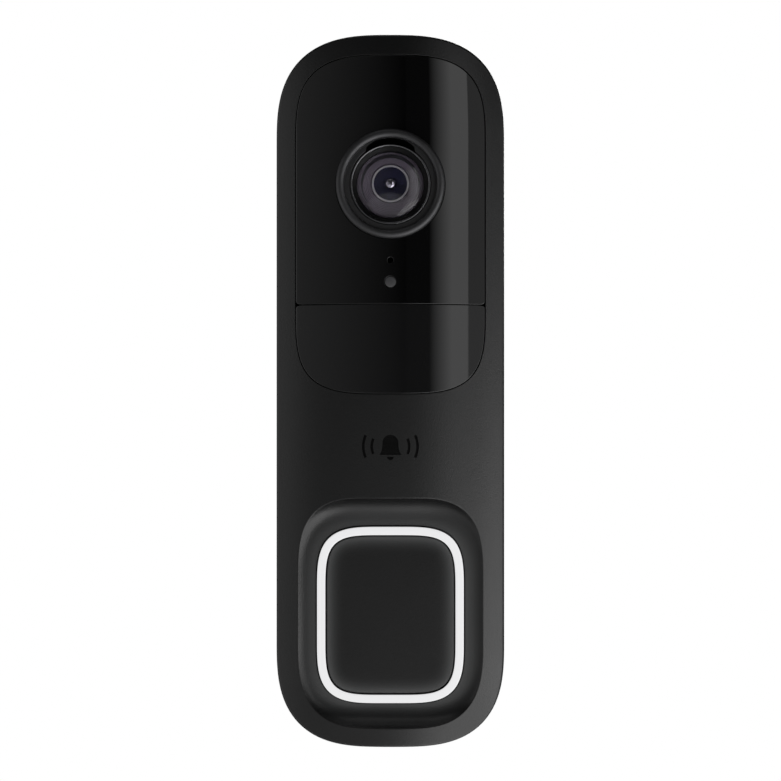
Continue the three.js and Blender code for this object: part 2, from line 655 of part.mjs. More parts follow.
function speakerCone() {
  const rim = SPEAKER_RADIUS - 1.6;
  return turned([
    [0, SPEAKER_BACK - 4.3],
    [2.6, SPEAKER_BACK - 3.9],
    [rim, SPEAKER_BACK - 4.4],
    [rim, SPEAKER_BACK - 4.8],
    [2.6, SPEAKER_BACK - 4.3],
    [0, SPEAKER_BACK - 4.8],
  ], 0, SPEAKER_Z, 32);
}

// ---- Wiring ----
function terminalBlock() {
  let body = block([-TERMINAL_HALF, TERMINAL_HALF], [MAIN_BOARD_BACK + FIT, -3.2],
    [TERMINAL_Z - 5, TERMINAL_Z + 5]);
  for (const x of [-3.5, 3.5]) {
    body = body.subtract(rod(x, TERMINAL_Z, 2, 1, -7, 20));
    body = body.subtract(uprightRod(x, -5.6, 1.1, TERMINAL_Z, TERMINAL_Z + 6, 12));
  }
  return body;
}

function terminalScrew(x) {
  return rod(x, TERMINAL_Z, 1.7, -3.5, -6.6, 20)
    .subtract(block([x - 2, x + 2], [-4.1, 0], [TERMINAL_Z - 0.3, TERMINAL_Z + 0.3]));
}

function tamperSwitch() {
  const [x, z] = TAMPER;
  return block([x - 2.8, x + 2.8], [MAIN_BOARD_BACK + FIT, -4.6], [z - 2.8, z + 2.8])
    .subtract(rod(x, z, 1.9, 1, -7.9));
}

function flatCable() {
  const x = SPEAKER_RADIUS + 3;
  const path = new THREE.CatmullRomCurve3([
    new THREE.Vector3(x, MAIN_BOARD_FRONT - 0.7, MAIN_BOARD.bottom + 3),
    new THREE.Vector3(x, MAIN_BOARD_FRONT - 1.6, MAIN_BOARD.bottom - 3),
    new THREE.Vector3(x, RING_BOARD_BACK + 1.6, RING.top + 4),
    new THREE.Vector3(x, RING_BOARD_BACK + 0.7, RING.top - 5),
  ]);
  const section = new THREE.Shape([
    new THREE.Vector2(-2, -0.15), new THREE.Vector2(2, -0.15),
    new THREE.Vector2(2, 0.15), new THREE.Vector2(-2, 0.15),
  ]);
  return solid(new THREE.ExtrudeGeometry(section, { steps: 16, extrudePath: path, bevelEnabled: false }));
}

function batteryPack() {
  const front = RING_BOARD_BACK + 1.3;
  return plate(rectangle(11, -TOP + 8.5, RING.top - 2, 1.6), PLATE_FRONT - 0.6, front, -1.5);
}

// Bracket
addPart('mounting_bracket', mountingBracket(), MATTE_BLACK, 0.6);
addPart('security_screw', securityScrew(), STEEL, 0.35, 1);

// Housing
addPart('front_cover', makeFrontCover(), MATTE_BLACK, 0.55);
addPart('rear_cover', rearCover(), MATTE_BLACK, 0.6);
addPart('case_gasket', caseGasket(), RUBBER, 0.9);
POSTS.forEach(([x, z], index) => addPart(`case_screw_${index + 1}`, caseScrew(x, z), STEEL, 0.35, 1));
addPart('camera_window', cameraWindow(), GLOSS_BLACK, 0.08);
addPart('pir_window', pirWindow(), GLOSS_BLACK, 0.16);

// Camera
addPart('camera_bezel', cameraBezel(), GLOSS_BLACK, 0.25);
addPart('lens_front', domedLens(LENS_RADIUS, LENS_APEX, 1, 1.6), 0x2c2a33, 0.03);
addPart('lens_retainer', lensRetainer(), 0x2a2a2c, 0.3, 0.6);
addPart('lens_inner', domedLens(4.7, BARREL_FRONT + 1.7, 0.6, 0.8, 32), 0x30323c, 0.04);
addPart('lens_barrel', lensBarrel(), MATTE_BLACK, 0.7);
addPart('lens_holder', lensHolder(), MATTE_BLACK, 0.6);
addPart('filter_frame', filterFrame(), MATTE_BLACK, 0.6);
addPart('filter_glass_ir_cut', rod(0, CAMERA_Z, 2.2, FILTER_Y + 0.5, FILTER_Y + 0.2, 20), 0x6f9aa0, 0.05);
addPart('filter_glass_clear',
  rod(FILTER_STROKE, CAMERA_Z, 2.2, FILTER_Y + 0.5, FILTER_Y + 0.2, 20), 0xd8e0e2, 0.05);
addPart('image_sensor', chip(0, CAMERA_Z, 3.4, 2.6, CAMERA_BOARD_FRONT, 0.9), 0x2c3038, 0.2);
addPart('camera_board', cameraBoard(), BOARD_GREEN, 0.5);

// Sensors behind the windows
addPart('sensor_board', sensorBoard(), BOARD_GREEN, 0.5);
for (const [side, x] of [['left', -IR_LED_X], ['right', IR_LED_X]]) {
  addPart(`ir_led_${side}`, rod(x, IR_LED_Z, 1.9, SENSOR_BOARD_FRONT - FIT, FRONT + 3.7, 20), 0x3a2230, 0.2);
}
addPart('microphone', chip(0, MIC_Z, 1.8, 1.4, SENSOR_BOARD_FRONT, 1.1), STEEL, 0.3, 1);
addPart('mic_gasket',
  rod(0, MIC_Z, 2, SENSOR_BOARD_FRONT - 2 * FIT - 1.1, FRONT + WINDOW_THICKNESS + FIT, 20)
    .subtract(rod(0, MIC_Z, 0.8, 0, DEEP_FRONT, 12)), RUBBER, 0.9);
addPart('light_pipe',
  rod(0, LIGHT_SENSOR_Z, 1.02, SENSOR_BOARD_FRONT - 2 * FIT - 0.8, FRONT + 0.05, 20), 0x2b2b2e, 0.1);
addPart('light_sensor', chip(0, LIGHT_SENSOR_Z, 1, 0.9, SENSOR_BOARD_FRONT, 0.8), 0x1e1e20, 0.3);
addPart('pir_sensor', rod(0, PIR_Z, 4.55, SENSOR_BOARD_FRONT - FIT, FRONT + 3, 28), STEEL, 0.3, 1);

// Main electronics
addPart('main_board', mainBoard(), BOARD_GREEN, 0.5);
addPart('shield_can', chip(-3, MAIN_BOARD.bottom + 12.2, 9, 7, MAIN_BOARD_FRONT, 1.8), STEEL, 0.4, 1);
addPart('antenna', chip(HOLDER_HALF_WIDTH + 3, MAIN_BOARD.top - 8, 1.6, 4, MAIN_BOARD_FRONT, 1.1), 0xe4e0d4, 0.5);
addPart('battery_pack', batteryPack(), 0x2f5f8c, 0.5);
addPart('flat_cable', flatCable(), 0xa86a24, 0.4);

// Button and luminous ring
addPart('light_ring', lightRing(), 0xededee, 0.4);
addPart('button_cap', buttonCap(), MATTE_BLACK, 0.55);
addPart('button_seal', buttonSeal(), RUBBER, 0.9);
addPart('ring_board',
  clearOfPosts(plate(outline(RING, -0.4), RING_BOARD_BACK, RING_BOARD_FRONT)), BOARD_GREEN, 0.5);
addPart('switch_body', switchBody(), 0x202022, 0.5);
addPart('switch_plunger', rod(0, BUTTON_Z, 1.5, SWITCH_FRONT + 0.8, PLUNGER_FRONT, 20), 0xb9b9bb, 0.4);

// Speaker
addPart('speaker_frame', speakerFrame(), 0x3a3b3d, 0.5, 0.6);
addPart('speaker_magnet', rod(0, SPEAKER_Z, 4.3, SPEAKER_BACK, SPEAKER_BACK - 3, 28), STEEL, 0.3, 1);
addPart('speaker_cone', speakerCone(), 0x28282a, 0.7);
addPart('speaker_gasket',
  rod(0, SPEAKER_Z, SPEAKER_RADIUS, SPEAKER_BACK - 5.3, SPEAKER_BACK - 6.3, 32)
    .subtract(rod(0, SPEAKER_Z, SPEAKER_RADIUS - 1.4, 0, DEEP_FRONT, 32)), RUBBER, 0.9);

// Wires, tamper
addPart('terminal_block', terminalBlock(), 0x2c6b3f, 0.5);
addPart('terminal_screw_1', terminalScrew(-3.5), STEEL, 0.35, 1);
addPart('terminal_screw_2', terminalScrew(3.5), STEEL, 0.35, 1);
addPart('tamper_switch', tamperSwitch(), 0x202022, 0.5);
addPart('tamper_plunger', rod(...TAMPER, 1.6, -0.3, -7.6, 20), 0xd0d0d2, 0.4);

export default doorbell;
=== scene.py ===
import math

import bmesh
import bpy
import numpy as np
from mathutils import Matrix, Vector, geometry


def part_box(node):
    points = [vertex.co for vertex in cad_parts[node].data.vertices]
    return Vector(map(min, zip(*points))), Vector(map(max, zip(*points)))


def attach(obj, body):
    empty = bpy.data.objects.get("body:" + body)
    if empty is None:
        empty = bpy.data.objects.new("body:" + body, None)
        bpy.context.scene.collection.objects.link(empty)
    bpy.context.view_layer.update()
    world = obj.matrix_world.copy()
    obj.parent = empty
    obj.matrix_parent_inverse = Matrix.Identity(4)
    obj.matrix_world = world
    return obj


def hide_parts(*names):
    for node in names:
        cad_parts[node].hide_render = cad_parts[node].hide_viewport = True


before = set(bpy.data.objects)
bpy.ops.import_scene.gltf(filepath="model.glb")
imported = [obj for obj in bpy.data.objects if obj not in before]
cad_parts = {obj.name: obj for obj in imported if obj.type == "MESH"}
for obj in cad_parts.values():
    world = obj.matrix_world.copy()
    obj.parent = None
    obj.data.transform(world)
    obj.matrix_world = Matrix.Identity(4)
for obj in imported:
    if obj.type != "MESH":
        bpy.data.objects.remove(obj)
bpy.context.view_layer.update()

# Lengths are in millimetres until a mesh is made. +Z up, the front faces -Y, the wall is y = 0.
MM = 0.001


def cad_box(node):
    """Lowest and highest corner of a CAD node, in millimetres."""
    low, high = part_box(node)
    return np.array(low) / MM, np.array(high) / MM


def centre_of(node):
    low, high = cad_box(node)
    return (low + high) / 2


# ---- Sizes read from the frame ----
cover_low, cover_high = cad_box("front_cover")
HALF = cover_high[0]
TOP = cover_high[2]
FRONT = cover_low[1]
PARTING = cover_high[1]
rear_low, rear_high = cad_box("rear_cover")
RIM_FRONT = rear_low[1]
SKIRT_BACK = rear_high[1]
window_low, window_high = cad_box("camera_window")
pir_low, pir_high = cad_box("pir_window")
CAMERA_Z = centre_of("camera_bezel")[2]
BEZEL_RADIUS = cad_box("camera_bezel")[1][0]
LENS_RADIUS = cad_box("lens_front")[1][0]
ring_low, ring_high = cad_box("light_ring")
_, cap_high = cad_box("button_cap")
MIC_Z = centre_of("microphone")[2]
PIPE_Z = centre_of("light_pipe")[2]
PIPE_RADIUS = cad_box("light_pipe")[1][0]
LOCK_Y = centre_of("security_screw")[1]

# ---- Sizes of the visible skin ----
CROWN_RADIUS = 45
END_DROP = 1.2
END_LENGTH = 18
WALL = 2
SEAM = 0.22
PANE_GAP = 0.15
WINDOW_THICKNESS = 1.6
POCKET = WINDOW_THICKNESS + 0.3
DISH_Y = FRONT + 4.1
RING_WIDTH = 1.65
RING_PROUD = 0.7
CAP_PROUD = 0.35
CEILING = -20.6  # inner face of the front cover
SPLIT_Z = (window_low[2] + pir_high[2]) / 2

# Outlines: half width, top, bottom, upper corner and lower corner (across, up, power).
BODY = (HALF, TOP, -TOP, (20.7, 20.0, 2.83), (19.2, 19.2, 2.87))
WINDOWS = (window_high[0] + SEAM, window_high[2] + SEAM, pir_low[2] - SEAM,
           (18.27, 17.6, 3.46), (17.9, 16.8, 3.6))
RING_FLANGE = 0.6
RING = (ring_high[0] - RING_FLANGE, ring_high[2] - RING_FLANGE, ring_low[2] + RING_FLANGE,
        (12.6, 12.4, 3.5), (12.6, 12.4, 3.5))
CAP = (RING[0] - RING_WIDTH, RING[1] - RING_WIDTH, RING[2] + RING_WIDTH,
       (12.0, 12.2, 4.4), (12.0, 12.2, 4.4))
DISH_FLARE = 2.6
DISH_SPREAD = 1.3  # how far the foot of the dish's wall is softened inwards
DISH = (RING[0] + 3.2, RING[1] + 3.0, RING[2] - 1.74, (11.9, 13.0, 2.8), (11.9, 13.0, 2.8))
EMBLEM_Z = pir_low[2] - SEAM - 9.9
SPEAKER_Z = pir_low[2] - SEAM - 9.4

FINE = 360  # points round a large outline
SMALL = 64  # points round a small hole


def add_object(name, data):
    made = bpy.data.objects.new(name, data)
    bpy.context.scene.collection.objects.link(made)
    return made


# ---- Camera, at the front on the object's axis ----
def make_camera():
    data = bpy.data.cameras.new("camera")
    data.sensor_width = 36
    data.lens = 75.7
    camera = add_object("camera", data)
    camera.location = (0.00002, -0.3383, 0.00008)
    camera.rotation_euler = (math.radians(90), 0, 0)
    bpy.context.scene.camera = camera


make_camera()


# ---- Curves ----
def front_y(x, z):
    """Depth of the front surface: a cylinder that falls back a little at both ends."""
    crown = CROWN_RADIUS - np.sqrt(CROWN_RADIUS ** 2 - x ** 2)
    past = np.maximum(0, np.abs(z) - (TOP - END_LENGTH)) / END_LENGTH
    return FRONT + crown + END_DROP * past ** 2


def under_front(depth):
    """The front surface moved back by depth, as a function of x and z."""
    return lambda x, z: front_y(x, z) + depth


def front_normal(x, z):
    past = np.maximum(0, np.abs(z) - (TOP - END_LENGTH)) / END_LENGTH
    slope_x = x / np.sqrt(CROWN_RADIUS ** 2 - x ** 2)
    slope_z = 2 * END_DROP * past / END_LENGTH * np.sign(z)
    normal = np.stack([slope_x, -np.ones_like(x), slope_z], 1)
    return normal / np.linalg.norm(normal, axis=1)[:, None]


def outline(shape, offset=0.0, count=FINE):
    """Evenly spaced (x, z) points of a superellipse-cornered outline, moved outwards by offset."""
    half, top, bottom, upper, lower = shape
    points, normals = [], []
    quarters = [(1, 1, upper, top), (-1, 1, upper, top), (-1, -1, lower, bottom), (1, -1, lower, bottom)]
    for index, (side_x, side_z, (across, up, power), edge) in enumerate(quarters):
        share = 0.5 - 0.5 * np.cos(np.linspace(0, math.pi, 300))
        if index % 2:
            share = share[::-1]
        u = np.cos(share * math.pi / 2) ** (2 / power)
        v = np.sin(share * math.pi / 2) ** (2 / power)
        across = min(across, half)
        points.append(np.stack([side_x * (half - across * (1 - u)),
                                edge - side_z * up * (1 - v)], 1))
        normals.append(np.stack([side_x * u ** (power - 1) / across,
                                 side_z * v ** (power - 1) / up], 1))
    points, normals = np.concatenate(points), np.concatenate(normals)
    normals /= np.linalg.norm(normals, axis=1)[:, None]
    closed = np.concatenate([points, points[:1]])
    length = np.concatenate([[0], np.cumsum(np.linalg.norm(np.diff(closed, axis=0), axis=1))])
    at = np.linspace(0, length[-1], count, endpoint=False)
    columns = [np.interp(at, length, np.append(c, c[0])) for c in (*points.T, *normals.T)]
    even = np.stack(columns[2:], 1)
    even /= np.linalg.norm(even, axis=1)[:, None]
    return np.stack(columns[:2], 1) + offset * even


def circle(x, z, radius, count=SMALL):
    angle = np.linspace(0, 2 * math.pi, count, endpoint=False)
    return np.stack([x + radius * np.cos(angle), z + radius * np.sin(angle)], 1)


def stadium(x, z, half_width, half_height, radius, count=SMALL):
    corner = (radius, radius, 2.0)
    points = outline((half_width, half_height, -half_height, corner, corner), 0, count)
    return points + (x, z)


def lift(points, depth):
    """(x, z) points to (x, y, z), at one depth or at the depth that a function gives."""
    y = depth(points[:, 0], points[:, 1]) if callable(depth) else np.full(len(points), float(depth))
    return np.stack([points[:, 0], y, points[:, 1]], 1)


def rounded(start, corner, end, steps=5):
    """Rows of a rounded edge that leaves start towards corner and arrives at end."""
    rows = []
    for t in np.linspace(0, 1, steps + 1):
        rows.append((1 - t) ** 2 * start + 2 * t * (1 - t) * corner + t ** 2 * end)
    return rows


def inside(points, polygon):
    """Whether each point lies inside the closed polygon."""
    x, z = points[:, 0][:, None], points[:, 1][:, None]
    x0, z0 = polygon[:, 0][None], polygon[:, 1][None]
    x1, z1 = np.roll(polygon[:, 0], -1)[None], np.roll(polygon[:, 1], -1)[None]
    crosses = (z0 > z) != (z1 > z)
    with np.errstate(divide="ignore", invalid="ignore"):
        reach = x0 + (z - z0) * (x1 - x0) / (z1 - z0)
    return (np.sum(crosses & (x < reach), axis=1) % 2) == 1


# ---- Mesh building ----
class Skin:
    """Collects rows and patches of one piece, then welds them into a closed mesh."""

    def __init__(self):
        self.points = []
        self.faces = []
        self.count = 0

    def add_points(self, points):
        first = self.count
        self.points.append(points)
        self.count += len(points)
        return first

    def rows(self, rows):
        """Joins closed rows of the same number of points, one after the other."""
        firsts = [self.add_points(row) for row in rows]
        size = len(rows[0])
        for low, high in zip(firsts, firsts[1:]):
            for i in range(size):
                j = (i + 1) % size
                self.faces.append((low + i, low + j, high + j, high + i))

    def patch(self, outer, holes, depth, pitch=0):
        """Fills the area between an outer loop and holes at a depth or on a surface."""
        loops = [outer] + list(holes)
        flat = [Vector(p) for loop in loops for p in loop]
        edges = []
        start = 0
        for loop in loops:
            size = len(loop)
            edges += [(start + i, start + (i + 1) % size) for i in range(size)]
            start += size
        if pitch:
            low, high = outer.min(0), outer.max(0)
            grid = np.stack(np.meshgrid(np.arange(low[0] + pitch / 2, high[0], pitch),
                                        np.arange(low[1] + pitch / 2, high[1], pitch)), -1).reshape(-1, 2)
            grid = grid[inside(grid, outer)]
            for hole in holes:
                grid = grid[~inside(grid, hole)]
            border = np.concatenate(loops)
            gap = np.array([np.min(np.sum((border - p) ** 2, 1)) for p in grid])
            flat += [Vector(p) for p in grid[gap > (0.5 * pitch) ** 2]]
        made = geometry.delaunay_2d_cdt(flat, edges, [], 0, 1e-7)
        points = np.array([tuple(v) for v in made[0]])
        triangles = np.array(made[2])
        centre = points[triangles].mean(1)
        keep = inside(centre, outer)
        for hole in holes:
            keep &= ~inside(centre, hole)
        first = self.add_points(lift(points, depth))
        self.faces += [tuple(int(v) + first for v in t) for t in triangles[keep]]

    def fan(self, row, centre):
        first = self.add_points(row)
        middle = self.add_points(np.array([centre]))
        size = len(row)
        self.faces += [(first + i, first + (i + 1) % size, middle) for i in range(size)]

    def mesh(self, name):
        mesh = bpy.data.meshes.new(name)
        points = np.concatenate(self.points) * MM
        mesh.from_pydata([tuple(p) for p in points], [], self.faces)
        bm = bmesh.new()
        bm.from_mesh(mesh)
        bmesh.ops.remove_doubles(bm, verts=bm.verts, dist=2e-7)
        bmesh.ops.dissolve_degenerate(bm, edges=bm.edges, dist=1e-8)
        bmesh.ops.recalc_face_normals(bm, faces=bm.faces)
        bm.to_mesh(mesh)
        bm.free()
        return mesh


def place(name, mesh, body, material, nodes=(), sharp=40):
    """Makes the piece, lets it ride on its body and hides the CAD nodes it stands for."""
    piece = add_object(name, mesh)
    mesh.materials.clear()
    mesh.materials.append(material)
    mesh.shade_smooth()
    mesh.set_sharp_from_angle(angle=math.radians(sharp))
    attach(piece, body)
    if nodes:
        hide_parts(*nodes)
    return piece


def even_flats(piece):
    """Shades the large flat faces flat, so that cut edges don't smear them."""
    modifier = piece.modifiers.new("even_flats", "WEIGHTED_NORMAL")
    modifier.keep_sharp = True
    modifier.weight = 100


def vertex_points(mesh):
    points = np.empty(len(mesh.vertices) * 3)
    mesh.vertices.foreach_get("co", points)
    return points.reshape(-1, 3) / MM


def set_front_normals(mesh):
    """Gives every face corner that lies on the front surface the surface's exact normal."""
    co = vertex_points(mesh)
    corners = np.empty(len(mesh.loops) * 3, np.float32)
    mesh.corner_normals.foreach_get("vector", corners)
    corners = corners.reshape(-1, 3)
    vertex = np.empty(len(mesh.loops), np.int32)
    mesh.loops.foreach_get("vertex_index", vertex)
    at = co[vertex]
    near = np.abs(at[:, 0]) < HALF
    on = np.zeros(len(at), bool)
    on[near] = np.abs(at[near, 1] - front_y(at[near, 0], at[near, 2])) < 2e-3
    sizes = np.empty(len(mesh.polygons), np.int32)
    mesh.polygons.foreach_get("loop_total", sizes)
    face = np.repeat(face_normals(mesh), sizes, 0)
    exact = np.zeros_like(corners)
    exact[on] = front_normal(at[on, 0], at[on, 2])
    on &= np.sum(face * exact, 1) > 0.8
    corners[on] = exact[on]
    mesh.normals_split_custom_set(corners.tolist())


def face_centres(mesh):
    centres = np.empty(len(mesh.polygons) * 3, np.float32)
    mesh.polygons.foreach_get("center", centres)
    return centres.reshape(-1, 3) / MM


def face_normals(mesh):
    normals = np.empty(len(mesh.polygons) * 3, np.float32)
    mesh.polygons.foreach_get("normal", normals)
    return normals.reshape(-1, 3)


def add_material(mesh, material, chosen):
    """Gives the chosen faces a second material."""
    mesh.materials.append(material)
    index = np.empty(len(mesh.polygons), np.int32)
    mesh.polygons.foreach_get("material_index", index)
    index[chosen] = len(mesh.materials) - 1
    mesh.polygons.foreach_set("material_index", index)


def boolean(mesh, cutters, operation="DIFFERENCE"):
    """Cuts or joins solid meshes and returns the new mesh."""
    piece = add_object("work", mesh)
    made = []
    for cutter in cutters:
        other = add_object("cutter", cutter)
        made.append(other)
        modifier = piece.modifiers.new("cut", "BOOLEAN")
        modifier.operation = operation
        modifier.object = other
        modifier.solver = "EXACT"
    graph = bpy.context.evaluated_depsgraph_get()
    result = bpy.data.meshes.new_from_object(piece.evaluated_get(graph))
    for other in made + [piece]:
        bpy.data.objects.remove(other)
    result.name = mesh.name
    return result


def prism(loop, back, front, holes=(), edge=0.0, name="prism"):
    """A closed prism between two depths, with holes and rounded edges."""
    skin = Skin()
    for sign, ring in [(-1, loop)] + [(1, hole) for hole in holes]:
        inner = offset_loop(ring, sign * edge) if edge else ring
        rows = []
        if edge:
            rows += rounded(lift(inner, front), lift(ring, front), lift(ring, front + edge), 3)
            rows += rounded(lift(ring, back - edge), lift(ring, back), lift(inner, back), 3)
        else:
            rows += [lift(ring, front), lift(ring, back)]
        skin.rows(rows)
    outer = offset_loop(loop, -edge) if edge else loop
    inner_holes = [offset_loop(hole, edge) if edge else hole for hole in holes]
    skin.patch(outer, inner_holes, front)
    skin.patch(outer, inner_holes, back)
    return skin.mesh(name)


def offset_loop(loop, offset):
    """Moves a counter-clockwise loop outwards by offset along its own normals."""
    tangent = np.roll(loop, -1, 0) - np.roll(loop, 1, 0)
    tangent /= np.linalg.norm(tangent, axis=1)[:, None]
    return loop + offset * np.stack([tangent[:, 1], -tangent[:, 0]], 1)


def turned(profile, x, z, name, count=160):
    """A solid turned about an axis along y from a closed profile of (radius, y)."""
    skin = Skin()
    angle = np.linspace(0, 2 * math.pi, count, endpoint=False)
    rows = []
    for radius, y in profile:
        rows.append(np.stack([x + radius * np.cos(angle), np.full(count, y), z + radius * np.sin(angle)], 1))
    starts_on_axis = profile[0][0] < 1e-6
    ends_on_axis = profile[-1][0] < 1e-6
    ring_rows = rows[1 if starts_on_axis else 0:len(rows) - 1 if ends_on_axis else len(rows)]
    skin.rows(ring_rows)
    if starts_on_axis:
        skin.fan(ring_rows[0], (x, profile[0][1], z))
    if ends_on_axis:
        skin.fan(ring_rows[-1], (x, profile[-1][1], z))
    return skin.mesh(name)


def arc(radius_at, y_at, size, start, end, steps):
    """Points (radius, y) of an arc, with angles in degrees from the radial direction."""
    angles = np.radians(np.linspace(start, end, steps + 1))
    return [(radius_at + size * math.cos(a), y_at + size * math.sin(a)) for a in angles]


# ---- Materials ----
class Shader:
    """One Principled material with the nodes that feed it."""

    def __init__(self, name, color, roughness, metallic=0.0, specular=0.5):
        self.material = bpy.data.materials.new(name)
        self.material.use_nodes = True
        self.nodes = self.material.node_tree.nodes
        self.links = self.material.node_tree.links
        self.main = self.nodes["Principled BSDF"]
        self.main.inputs["Base Color"].default_value = (*color, 1)
        self.main.inputs["Roughness"].default_value = roughness
        self.main.inputs["Metallic"].default_value = metallic
        self.main.inputs["Specular IOR Level"].default_value = specular
        self.color = color
        self.roughness = roughness
        self.coordinates = self.nodes.new("ShaderNodeTexCoord").outputs["Object"]

    def noise(self, scale, detail=3.0):
        node = self.nodes.new("ShaderNodeTexNoise")
        node.inputs["Scale"].default_value = scale
        node.inputs["Detail"].default_value = detail
        self.links.new(self.coordinates, node.inputs["Vector"])
        return node.outputs["Fac"]

    def remap(self, value, low, high, from_low=0.0, from_high=1.0):
        node = self.nodes.new("ShaderNodeMapRange")
        node.inputs["From Min"].default_value = from_low
        node.inputs["From Max"].default_value = from_high
        node.inputs["To Min"].default_value = low
        node.inputs["To Max"].default_value = high
        self.links.new(value, node.inputs["Value"])
        return node.outputs["Result"]

    def mix(self, share, first, second):
        node = self.nodes.new("ShaderNodeMix")
        node.data_type = "RGBA"
        node.inputs["A"].default_value = (*first, 1)
        node.inputs["B"].default_value = (*second, 1)
        self.links.new(share, node.inputs["Factor"])
        return node.outputs["Result"]

    def bump(self, height, distance):
        node = self.nodes.new("ShaderNodeBump")
        node.inputs["Distance"].default_value = distance
        self.links.new(height, node.inputs["Height"])
        self.links.new(node.outputs["Normal"], self.main.inputs["Normal"])

    def vary(self, scale, amount, spread):
        """Clouds in colour and roughness."""
        cloud = self.noise(scale)
        dark = tuple(c * (1 - amount) for c in self.color)
        light = tuple(c * (1 + amount) for c in self.color)
        self.links.new(self.mix(cloud, dark, light), self.main.inputs["Base Color"])
        rough = self.remap(self.noise(scale * 2.3), self.roughness - spread, self.roughness + spread)
        self.links.new(rough, self.main.inputs["Roughness"])


def moulded_plastic(name, color, roughness, grain=3600, depth=0.000025, specular=0.5):
    shader = Shader(name, color, roughness, specular=specular)
    shader.vary(grain, 0.25, 0.07)
    shader.bump(shader.noise(grain, 2.0), depth)
    return shader


def add_painted_ring_light(shader, ring_lit_color):
    """Painted light from the lit ring: the plastic's colour is painted paler towards the ring."""
    attribute = shader.nodes.new("ShaderNodeAttribute")
    attribute.attribute_name = "painted_ring_light"
    node = shader.nodes.new("ShaderNodeMix")
    node.data_type = "RGBA"
    source = shader.main.inputs["Base Color"].links[0].from_socket
    shader.links.new(attribute.outputs["Fac"], node.inputs["Factor"])
    shader.links.new(source, node.inputs["A"])
    node.inputs["B"].default_value = (*ring_lit_color, 1)
    shader.links.new(node.outputs["Result"], shader.main.inputs["Base Color"])
    return shader


def brushed_metal(name, color, roughness):
    shader = Shader(name, color, roughness, metallic=1.0)
    shader.vary(300, 0.06, 0.06)
    shader.bump(shader.noise(2500, 2.0), 0.000004)
    return shader.material


SHELL_COLOR = (0.0024, 0.0025, 0.0026)
# The shell and the cap are painted paler near the light ring: painted light from the ring.
shell = add_painted_ring_light(moulded_plastic("shell", SHELL_COLOR, 0.34, specular=0.4), (0.060, 0.061, 0.061)).material
cap_plastic = moulded_plastic("cap", SHELL_COLOR, 0.38, specular=0.33)
cap_material = add_painted_ring_light(cap_plastic, (0.095, 0.097, 0.097)).material
rear_material = moulded_plastic("rear_shell", (0.0125, 0.0127, 0.0132), 0.5, depth=0.00002).material
bracket_material = moulded_plastic("bracket_plastic", (0.018, 0.018, 0.019), 0.55, depth=0.00003).material
dark_material = moulded_plastic("dark_plastic", (0.015, 0.015, 0.016), 0.6).material
rubber = moulded_plastic("rubber", (0.012, 0.012, 0.012), 0.75, grain=900).material
steel = brushed_metal("steel", (0.55, 0.56, 0.57), 0.3)
pale = moulded_plastic("pale_plastic", (0.55, 0.55, 0.53), 0.45).material
emblem_material = moulded_plastic("emblem", (0.0008, 0.0008, 0.0008), 0.3, specular=0.12).material


def polished(name, color, roughness, coat=0.0, specular=0.5):
    shader = Shader(name, color, roughness, specular=specular)
    shader.vary(60, 0.05, min(0.01, roughness * 0.3))
    shader.main.inputs["Coat Weight"].default_value = coat
    shader.main.inputs["Coat Roughness"].default_value = 0.02
    return shader.material


window_material = polished("window_gloss", (0.0018, 0.0018, 0.0019), 0.035)
pir_material = polished("pir_gloss", (0.0062, 0.0062, 0.0064), 0.05)
bezel_material = brushed_metal("bezel_satin", (0.058, 0.058, 0.06), 0.5)
step_material = polished("lens_step", (0.009, 0.009, 0.0095), 0.4)
bead_material = brushed_metal("lens_bead", (0.10, 0.10, 0.104), 0.25)
well_material = polished("lens_well", (0.002, 0.002, 0.0022), 0.5, specular=0.1)
# A black crescent of painted shade under the top of the lens opening.
painted_top_shade_material = polished("lens_painted_top_shade", (0.0004, 0.0004, 0.0004), 0.9, specular=0.0)
pipe_material = polished("sensor_dot", (0.045, 0.045, 0.047), 0.3)


def board_material():
    shader = Shader("board", (0.012, 0.07, 0.03), 0.35)
    traces = shader.nodes.new("ShaderNodeTexVoronoi")
    traces.feature = "DISTANCE_TO_EDGE"
    traces.inputs["Scale"].default_value = 420
    shader.links.new(shader.coordinates, traces.inputs["Vector"])
    share = shader.remap(traces.outputs["Distance"], 1, 0, 0.02, 0.06)
    mixed = shader.mix(share, (0.008, 0.055, 0.024), (0.02, 0.12, 0.05))
    shader.links.new(mixed, shader.main.inputs["Base Color"])
    return shader.material


def lamp_plastic():
    shader = Shader("ring_light", (0.15, 0.15, 0.15), 0.4)
    shader.main.inputs["Emission Color"].default_value = (1, 1, 1.01, 1)
    shader.main.inputs["Emission Strength"].default_value = 0.69
    shader.bump(shader.noise(1200), 0.000004)
    return shader.material


def coated_glass():
    shader = Shader("lens_glass", (0.86, 0.84, 0.9), 0.0)
    shader.main.inputs["Transmission Weight"].default_value = 1.0
    shader.main.inputs["IOR"].default_value = 1.35
    shader.bump(shader.noise(200), 0.0000002)
    return shader.material


board = board_material()
ring_material = lamp_plastic()
ring_side_material = moulded_plastic("ring_side", (0.004, 0.004, 0.004), 0.6).material
lens_material = coated_glass()
inner_lens_material = polished("inner_lens", (0.016, 0.017, 0.042), 0.08, coat=0.4)
baffle_material = polished("lens_baffle", (0.125, 0.108, 0.128), 0.4)
retainer_material = polished("lens_retainer_ring", (0.52, 0.52, 0.5), 0.3)
pupil_material = brushed_metal("lens_pupil", (0.6, 0.6, 0.62), 0.16)
# A dark blue crescent of painted shadow inside the lens, behind the glass.
painted_inner_shade_material = polished("lens_painted_inner_shade", (0.004, 0.001, 0.012), 0.3)
battery_material = polished("battery_wrap", (0.03, 0.11, 0.25), 0.25)
flex_material = polished("flex", (0.35, 0.13, 0.02), 0.2)


